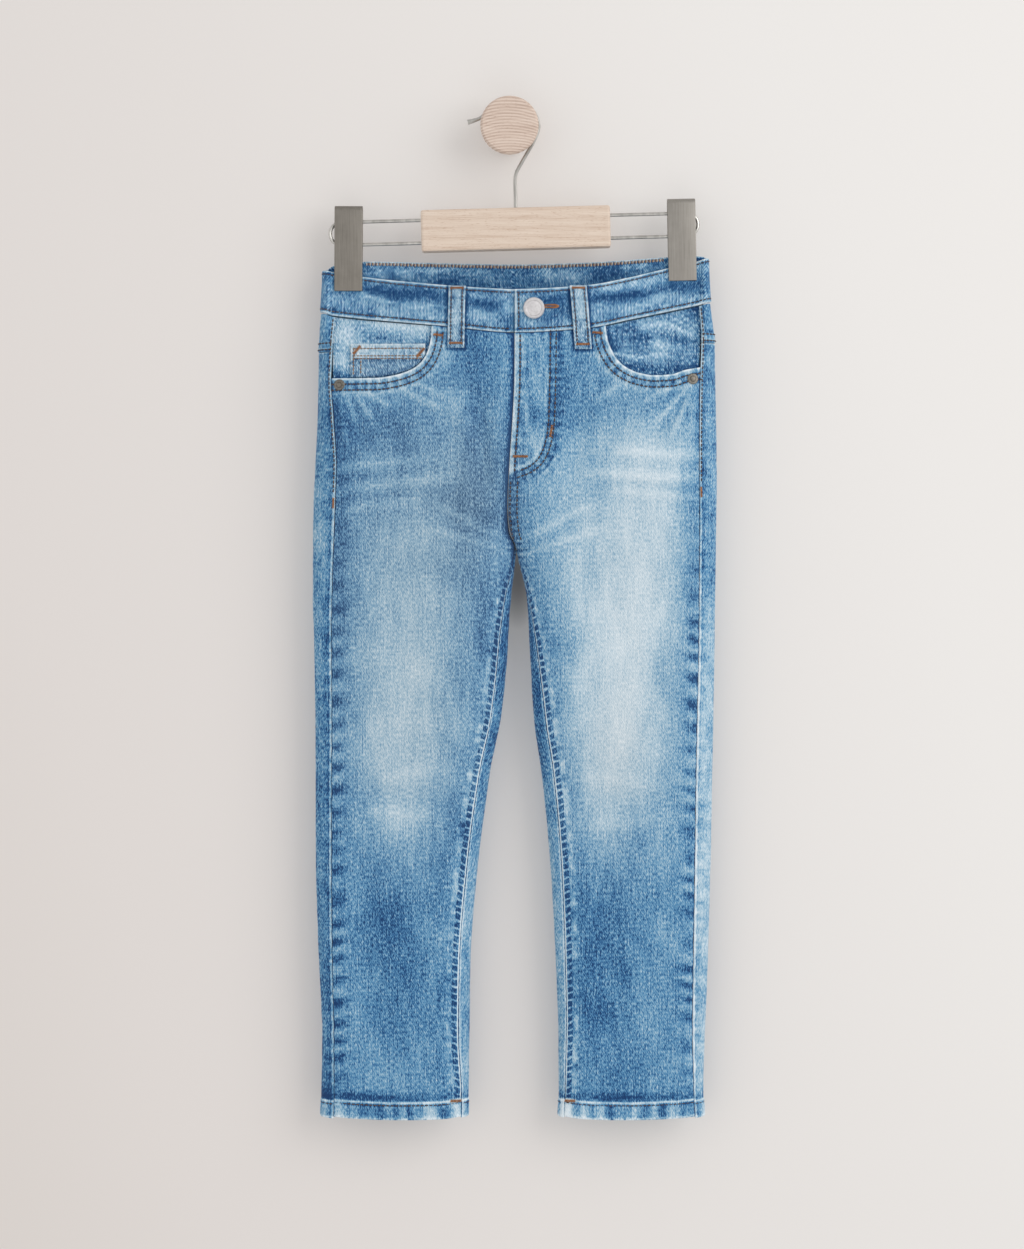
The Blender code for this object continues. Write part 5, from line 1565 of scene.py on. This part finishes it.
def bartack(thread, points, normals, width=1.7):
    """A dense row of cross stitches over a short line."""
    lengths = lengths_along(points)
    count = max(5, int(lengths[-1] / (0.46 * MM)))
    for k in range(count):
        s = lengths[-1] * (k + 0.5) / count
        back, place, ahead = [point_at(lengths, points, s + step) for step in (-0.0004, 0.0, 0.0004)]
        normal = point_at(lengths, normals, s)
        way = unit(ahead - back)
        cross = np.cross(way, normal) + way * (0.25 if k % 2 else -0.25)
        reach = unit(cross) * width * MM / 2
        middle = place + normal * 0.0002
        thread.bead(middle - reach, middle + reach, normal, 0.5 * MM, 0.42 * MM)


def on_panel(half, face, arc, drop, lift=STITCH_LIFT):
    """Points and normals on the outside of a front or back panel."""
    rise = CLOTH[face](half, arc, drop)[0] + lift
    return raised(half, face, arc, drop, rise), outward(half, face, arc, drop)


def on_front(line, lift=STITCH_LIFT):
    """Points and normals on the front panels along a line of across and drop pairs."""
    across, drop = line[len(line) // 2]
    half = "left" if across < section("inner_left", min(drop, CROTCH_DROP)) else "right"
    arc = Ring(half, line[:, 1]).arc(line[:, 0])
    return on_panel(half, "front", arc, line[:, 1], lift)


def off_form(face, across, drop, rise):
    """Points at a rise off the form along places across, and the normals there."""
    points = patch_points(face, across, drop, rise)
    return points, unit(points - patch_points(face, across, drop, rise - 1.0))


def on_loop(row, over, down, lift):
    """Points and normals on the outside of a belt loop."""
    across, drop, rise = loop_place(row, over + 0 * down, down + 0 * over)
    return off_form(row[1], across, drop, rise + LOOP_THICK + lift)


def fine_line(start, end, spacing):
    """Close points between two places."""
    return np.linspace(start, end, int(math.dist(start, end) / spacing))


def beside_middle(first, last, aside):
    """A line down the right front, beside the middle seam."""
    drops = np.arange(first, last, 0.7)
    return np.stack([section("inner_right", drops) + aside, drops], -1)


# Where the row of stitches beside each outseam starts, and where it ends in a bartack.
OUTSEAM_ROWS = {"left": (138.5, 268.0), "right": (130.5, 260.0)}
FRONT_TACKS = (
    ((-54.6, 150.6), (-47.6, 151.4)), ((59.6, 149.0), (67.0, 149.6)), ((30.6, 216.0), (29.2, 224.5)),
    ((2.4, 238.2), (13.2, 238.4)),
)
COIN_TACKS = (((-112.3, 164.6), (-107.2, 158.6)), ((-66.6, 166.7), (-61.2, 160.4)))


def sew_panels(topstitch, tacks):
    """Stitch rows and bartacks of the front and back panels."""
    shares = np.linspace(0.004, 0.996, 150)
    yoke_shares = np.linspace(0.004, 0.996, 200)
    for half in HALVES:
        for distance in (4.3, 8.6):
            line = beside(SCOOP_LINES[half], -side_of(half) * distance)
            topstitch.row(*on_front(line[line[:, 1] > waist("front_bottom", line[:, 0]) + 1.0]))
        first, last = OUTSEAM_ROWS[half]
        drops = np.arange(first, last, 0.8)
        topstitch.row(*on_panel(half, "back", 1.6 - Ring(half, drops).outseam_arc(), drops))
        drops = np.arange(last, last + 8.0, 0.5)
        bartack(tacks, *on_panel(half, "back", 1.2 - Ring(half, drops).outseam_arc(), drops))
        ring = Ring(half, np.full(shares.shape, HEM_BOTTOM - HEM_TURN_UP + 1.2))
        front = front_arc(ring, shares)
        back = wrap_arc(ring, shares)
        for face, arc, share in (("front", front, shares), ("back", back, fold_share(ring, back))):
            drop = ring.drop + hem_shift(HEM_BOTTOM, share)
            topstitch.row(*on_panel(half, face, arc, drop, 0.35))
        ring = Ring(half, 702.0)
        edge = float(ring.total - ring.inseam_rest())
        arcs = np.linspace(edge - 9.8, edge - 0.4, 20)
        bartack(tacks, *on_panel(half, "front", arcs, np.full(20, 701.6), 0.7), 2.4)
        for distance in (1.7, 6.4):
            drop = meet(half, yoke_shares, lambda front, across: yoke_seam_drop(across) - distance)
            arc = wrap_arc(Ring(half, drop), yoke_shares)
            topstitch.row(*on_panel(half, "back", arc, drop))
    for distance in (0.0, 4.2):
        line = beside(FLY_LINE, distance)
        topstitch.row(*on_front(line[line[:, 0] > 4.5]))
    topstitch.row(*on_front(beside_middle(150.5, 250.0, 4.1)), width=1.1)
    for aside in (1.6, 6.6):
        topstitch.row(*on_front(beside_middle(256.0, 300.0, aside)))
        for first, last in ((178.0, 300.0), (134.0, 174.0)):
            drops = np.arange(first, last, 0.8)
            topstitch.row(*on_panel("right", "back", Ring("right", drops).total - aside, drops))
    for start, end in FRONT_TACKS:
        bartack(tacks, *on_front(fine_line(start, end, 0.5), 0.3), 2.1)


def sew_band(topstitch, edging, binding):
    """Stitch rows along both edges of the waistband, outside, and overlocking inside the back."""
    for edge, inset in (("_top", 2.4), ("_bottom", -2.6)):
        for half in HALVES:
            ring = Ring(half, BAND_NOMINAL_DROP)
            arcs = np.linspace(0.0, float(ring.total) - 1.0, 220)
            for face in ("front", "back"):
                drop = waist(face + edge, ring.across(arcs)) + inset
                arc = band_arc(half, arcs, drop)
                rise = BAND_OUTER + band_cloth(half, face, arc, drop)[0] + STITCH_LIFT
                topstitch.row(raised(half, face, arc, drop, rise), outward(half, face, arc, drop))
    drop = np.linspace(121.0, 146.2, 40)
    across = np.full(40, 6.6)
    relief = band_cloth("right", "front", Ring("right", drop).arc(across), drop)[0]
    topstitch.row(*off_form("front", across, drop, BAND_OUTER + float(np.mean(relief)) + 0.3))
    for k, across in enumerate(np.arange(-103.0, 112.0, 1.25)):
        places = np.array([across, across + (0.3 if k % 2 else -0.2)])
        drops = float(waist("back_top", across)) + np.array([0.7, 3.1])
        points, normals = off_form("back", places, drops, BAND_INNER - 0.15)
        thread = edging if k % 2 else binding
        thread.bead(points[0], points[1], -normals[0], 0.85 * MM, 0.5 * MM)


def sew_small_parts(topstitch, edging, tacks):
    """Stitches on the loops and pockets."""
    for row in LOOPS:
        for over in (0.17, 0.83):
            points, normals = on_loop(row, over, np.linspace(0.03, 0.97, 60), 0.02)
            topstitch.row(points, normals, pitch=2.6, length=2.1)
        for down in (0.035, 0.925):
            bartack(tacks, *on_loop(row, np.linspace(0.1, 0.9, 24), down, 0.05), 1.9)
    coin_rows = [((-112.8, COIN_TOP + distance), (-61.5, COIN_TOP + distance), 120, -0.2)
                 for distance in (3.4, 8.8, 10.8)]
    coin_rows += [((-112.1, 160.0), (-112.1, 180.0), 40, -0.3), ((-106.8, 169.0), (-106.8, 180.0), 40, -0.3)]
    for start, end, count, rise in coin_rows:
        across, drop = np.linspace(start, end, count).T
        edging.row(*off_form("front", across, drop, rise), pitch=2.5, length=2.0, width=1.0)
    for start, end in COIN_TACKS:
        across, drop = fine_line(start, end, 0.4).T
        bartack(tacks, *off_form("front", across, drop, -0.02), 2.6)
    for half in HALVES:
        rows = []
        for inset in (2.0, 7.5):
            a = inset / POCKET_WIDTH
            b = 1.0 - inset / POCKET_SIDE
            route = [(a, 0.02), (a, b), (0.5, b), (1 - a, b), (1 - a, 0.02)]
            rows += [(start, end, 1.75) for start, end in zip(route, route[1:])]
        rows += [((0.02, level), (0.98, level), 2.0) for level in (0.04, 0.165)]
        for start, end, rise in rows:
            over, down = np.linspace(start, end, 90).T
            topstitch.row(*off_form("back", *pocket_place(half, over, down), rise))


def buttonhole(tacks):
    """Satin stitches round the slit that starts under the button."""
    centre = (29.0, 130.4)
    reach = 6.6
    count = 54
    for k in range(count):
        angle = 2 * math.pi * (k + 0.5) / count
        eye = 1.5 + 0.5 * max(0.0, math.cos(angle))
        inside = (reach * math.cos(angle) * 0.72, 0.35 * math.sin(angle))
        outside = (reach * math.cos(angle), eye * math.sin(angle))
        across, drop = (np.array([inside, outside]) + centre).T
        points, normals = off_form("front", across, drop, BAND_OUTER + 0.3)
        tacks.bead(points[0], points[1], normals[0], 0.62 * MM, 0.42 * MM)


# ---------------------------------------------------------------------------------------------
# Hanger, button and rivets
# ---------------------------------------------------------------------------------------------
def dress_node(name, material):
    """Give a CAD node that stays its finished material."""
    for material_slot in bpy.data.objects[name].material_slots:
        material_slot.material = material


def folded_clip(side, material):
    """A merged copy of a clip's CAD node with softened edges, which stands for it."""
    node = "clip_" + side
    mesh = bpy.data.objects[node].data.copy()
    shell = bmesh.new()
    shell.from_mesh(mesh)
    bmesh.ops.remove_doubles(shell, verts=shell.verts, dist=0.00001)
    bmesh.ops.dissolve_limit(shell, angle_limit=math.radians(1.0), verts=shell.verts, edges=shell.edges)
    shell.to_mesh(mesh)
    shell.free()
    item = new_item("folded_clip_" + side, mesh, material)
    soften = item.modifiers.new("Soft edges", "BEVEL")
    soften.width = 0.00045
    soften.segments = 3
    soften.limit_method = "ANGLE"
    soften.angle_limit = math.radians(40)
    bpy.ops.object.select_all(action="DESELECT")
    bpy.context.view_layer.objects.active = item
    item.select_set(True)
    bpy.ops.object.modifier_apply(modifier=soften.name)
    bpy.ops.object.shade_smooth_by_angle(angle=math.radians(35))
    item.select_set(False)
    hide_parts(node)
    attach(item, "root")


# ---------------------------------------------------------------------------------------------
# Stage, lights and camera
# ---------------------------------------------------------------------------------------------
PHOTO_HEIGHT = 1249
PHOTO_WIDTH = 1024
PIXEL = 0.72 * MM
KNOB_PIXEL = (509.5, 126.0)
SCALE_PLANE = -0.030
CAMERA_DISTANCE = 2.4
# Wall colours by tone; the darkest stop is a painted shadow.
WALL_TONES_WITH_PAINTED_SHADE = (
    (0.0, (58, 53, 50)), (0.2, (192, 186, 181)), (0.4, (200, 195, 192)), (0.8, (207, 205, 203)),
)


def wall():
    """A pale wall with painted light, which lets the views from behind it, and their light, through."""
    bpy.ops.object.select_all(action="DESELECT")
    bpy.ops.mesh.primitive_plane_add(size=6.0, location=(0.0, 0.0008, -0.35),
                                     rotation=(math.pi / 2, 0.0, 0.0))
    item = bpy.context.active_object
    item.name = "wall_with_painted_light"
    material, tree, shader = new_material("wall_paint_with_painted_light", 0.95, specular=0.1)
    place = object_place(tree)
    side, up, _ = parts_of(tree, place)
    # The tone is painted lighter to the right and to the top, as the light falls off, with a little random
    # unevenness.
    tone_with_painted_falloff = noise(tree, place, (1.2, 1.2, 1.2)) * 0.1 + side * 0.6 + up * 0.2 + 0.56
    # A painted shadow on the wall behind the crotch, between the legs.
    painted_shade_between_legs = side.line(0.006, 0.03) * up.line(0.025, 0.07)
    paint = (tone_with_painted_falloff.math("MAXIMUM", 0.26) * (painted_shade_between_legs * -0.9 + 1.0)).ramp(WALL_TONES_WITH_PAINTED_SHADE)
    join(tree, paint, shader.inputs["Base Color"])
    join(tree, paint, shader.inputs["Emission Color"])
    # The wall glows a little in its own colour: painted light that lifts its shadows.
    shader.inputs["Emission Strength"].default_value = 0.25
    clear = tree.nodes.new("ShaderNodeBsdfTransparent")
    behind = Value(tree, tree.nodes.new("ShaderNodeNewGeometry").outputs["Backfacing"])
    shadow = Value(tree, tree.nodes.new("ShaderNodeLightPath").outputs["Is Shadow Ray"])
    mixer = tree.nodes.new("ShaderNodeMixShader")
    join(tree, behind.math("MAXIMUM", shadow), mixer.inputs[0])
    join(tree, shader.outputs[0], mixer.inputs[1])
    join(tree, clear.outputs[0], mixer.inputs[2])
    join(tree, mixer.outputs[0], tree.nodes["Material Output"].inputs["Surface"])
    item.data.materials.append(material)


def area_light(name, place, size, power, colour):
    """A soft square light that faces the middle of the jeans."""
    light = bpy.data.lights.new(name, "AREA")
    light.size = size
    light.energy = power
    light.color = colour
    item = bpy.data.objects.new(name, light)
    item.location = place
    aim = Vector((0.0, 0.0, -0.36)) - Vector(place)
    item.rotation_euler = aim.to_track_quat("-Z", "Y").to_euler()
    bpy.context.scene.collection.objects.link(item)


def lights():
    """Soft studio light from the right, fill from the left, and light behind for other views."""
    area_light("key", (1.8, -1.7, 0.5), 2.0, 28.0, (1.0, 0.99, 0.98))
    area_light("fill", (-1.6, -2.0, 0.1), 2.2, 5.0, (0.98, 0.985, 1.0))
    area_light("low_fill", (0.2, -2.2, -1.7), 1.8, 4.0, (1.0, 0.98, 0.96))
    area_light("behind", (-0.7, 1.9, 0.2), 1.6, 14.0, (1.0, 1.0, 1.0))
    world = bpy.context.scene.world or bpy.data.worlds.new("studio")
    bpy.context.scene.world = world
    world.use_nodes = True
    sky = world.node_tree.nodes["Background"]
    sky.inputs["Color"].default_value = (0.95, 0.94, 0.93, 1.0)
    sky.inputs["Strength"].default_value = 0.78


def camera():
    """A camera straight in front of the jeans, at the photograph's framing."""
    data = bpy.data.cameras.new("camera")
    item = bpy.data.objects.new("camera", data)
    bpy.context.scene.collection.objects.link(item)
    centre_x = (PHOTO_WIDTH / 2 - KNOB_PIXEL[0]) * PIXEL
    centre_z = (KNOB_PIXEL[1] - PHOTO_HEIGHT / 2) * PIXEL
    item.location = (centre_x, SCALE_PLANE - CAMERA_DISTANCE, centre_z)
    item.rotation_euler = (math.pi / 2, 0.0, 0.0)
    data.sensor_width = 36.0
    data.lens = data.sensor_width * CAMERA_DISTANCE / (PHOTO_HEIGHT * PIXEL)
    data.clip_start = 0.05
    bpy.context.scene.camera = item


# Flat sizes of the cut pieces: width, length and area in metres.
CUTS = {
    "front": (0.150, 0.575, 0.0700),
    "back": (0.200, 0.560, 0.0880),
    "yoke": (0.165, 0.050, 0.0058),
    "waistband": (0.600, 0.034, 0.0190),
    "facing": (0.085, 0.062, 0.0034),
    "coin": (0.056, 0.027, 0.0013),
    "back_pocket": (0.076, 0.083, 0.0056),
    "loop": (0.0125, 0.048, 0.00057),
}
FRONT_LABELS = ("outseam", "inseam", "scoop", "band", "leg", "fly", "flap", "hem", "loop")
BACK_LABELS = ("outseam", "inseam", "leg", "yoke", "hem", "loop")
BAND_LABELS = ("top", "bottom", "loop")


def dress_jeans():
    """Every piece of cloth and its sewing."""
    twill = twill_group()
    front = denim("front_denim", twill, labels=FRONT_LABELS, formula=front_lines)
    back = denim("back_denim", twill, labels=BACK_LABELS, formula=back_lines)
    band = denim("band_denim", twill, 1.1, 0.14, BAND_LABELS, band_lines)
    small = denim("small_pieces_denim", twill, 1.5, 0.10)
    for half in HALVES:
        front_panel(half, front, CUTS["front"])
        back_panel(half, back, CUTS["back"])
        yoke(half, back, CUTS["yoke"])
        pocket_facing(half, small, CUTS["facing"])
    waistband(band, CUTS["waistband"])
    coin_pocket(small, CUTS["coin"])
    for half in HALVES:
        back_pocket(half, small, CUTS["back_pocket"])
    for row in LOOPS:
        belt_loop(row, small, CUTS["loop"])
    topstitch = Thread("topstitching")
    edging = Thread("band_edging")
    binding = Thread("band_binding")
    tacks = Thread("bartacks")
    sew_panels(topstitch, tacks)
    sew_band(topstitch, edging, binding)
    sew_small_parts(topstitch, edging, tacks)
    buttonhole(tacks)
    topstitch.make(sewing_thread("brown_thread", (48, 44, 54), (98, 82, 78)))
    edging.make(sewing_thread("tan_thread", (106, 84, 68), (156, 126, 100)))
    binding.make(sewing_thread("cream_thread", (176, 158, 138), (222, 208, 190)))
    tacks.make(sewing_thread("orange_thread", (128, 82, 52), (192, 134, 84)))


def dress_hanger():
    """Metal, wood and the fastenings."""
    wire = brushed_metal("satin_wire", (156, 154, 150), (208, 206, 201), 0.32, (300, 300, 60))
    brush = (1600, 1600, 30)
    # The left clip's steel is a darker copy of the right one's: painted shade on the clip away from the key
    # light.
    clips = {
        "left": brushed_metal("painted_shade_clip_steel", (122, 118, 111), (150, 145, 138), 0.48, brush, 0.12),
        "right": brushed_metal("brushed_clip_steel", (138, 134, 128), (166, 162, 156), 0.48, brush, 0.12),
    }
    pewter = brushed_metal("pewter", (196, 194, 195), (228, 226, 228), 0.42, (700, 700, 700), 0.2)
    bronze = brushed_metal("dark_bronze", (92, 88, 82), (146, 142, 134), 0.46, (900, 900, 900), 0.3)
    bar_wood = pale_wood("bar_wood", 900.0, False, (
        (0.15, (186, 160, 140)), (0.5, (212, 194, 178)), (0.85, (226, 212, 198))))
    knob_wood = pale_wood("knob_wood", 2900.0, True, (
        (0.2, (174, 150, 136)), (0.5, (204, 184, 170)), (0.8, (220, 204, 192))))
    for name in ("rod_left", "rod_right", "hanger_hook"):
        dress_node(name, wire)
    for side in HALVES:
        folded_clip(side, clips[side])
        dress_node("rivet_" + side, bronze)
    dress_node("button", pewter)
    dress_node("wall_knob", knob_wood)
    dress_node("hanger_bar", bar_wood)


camera()
wall()
lights()
dress_jeans()
dress_hanger()
bpy.context.scene.view_settings.view_transform = "Standard"
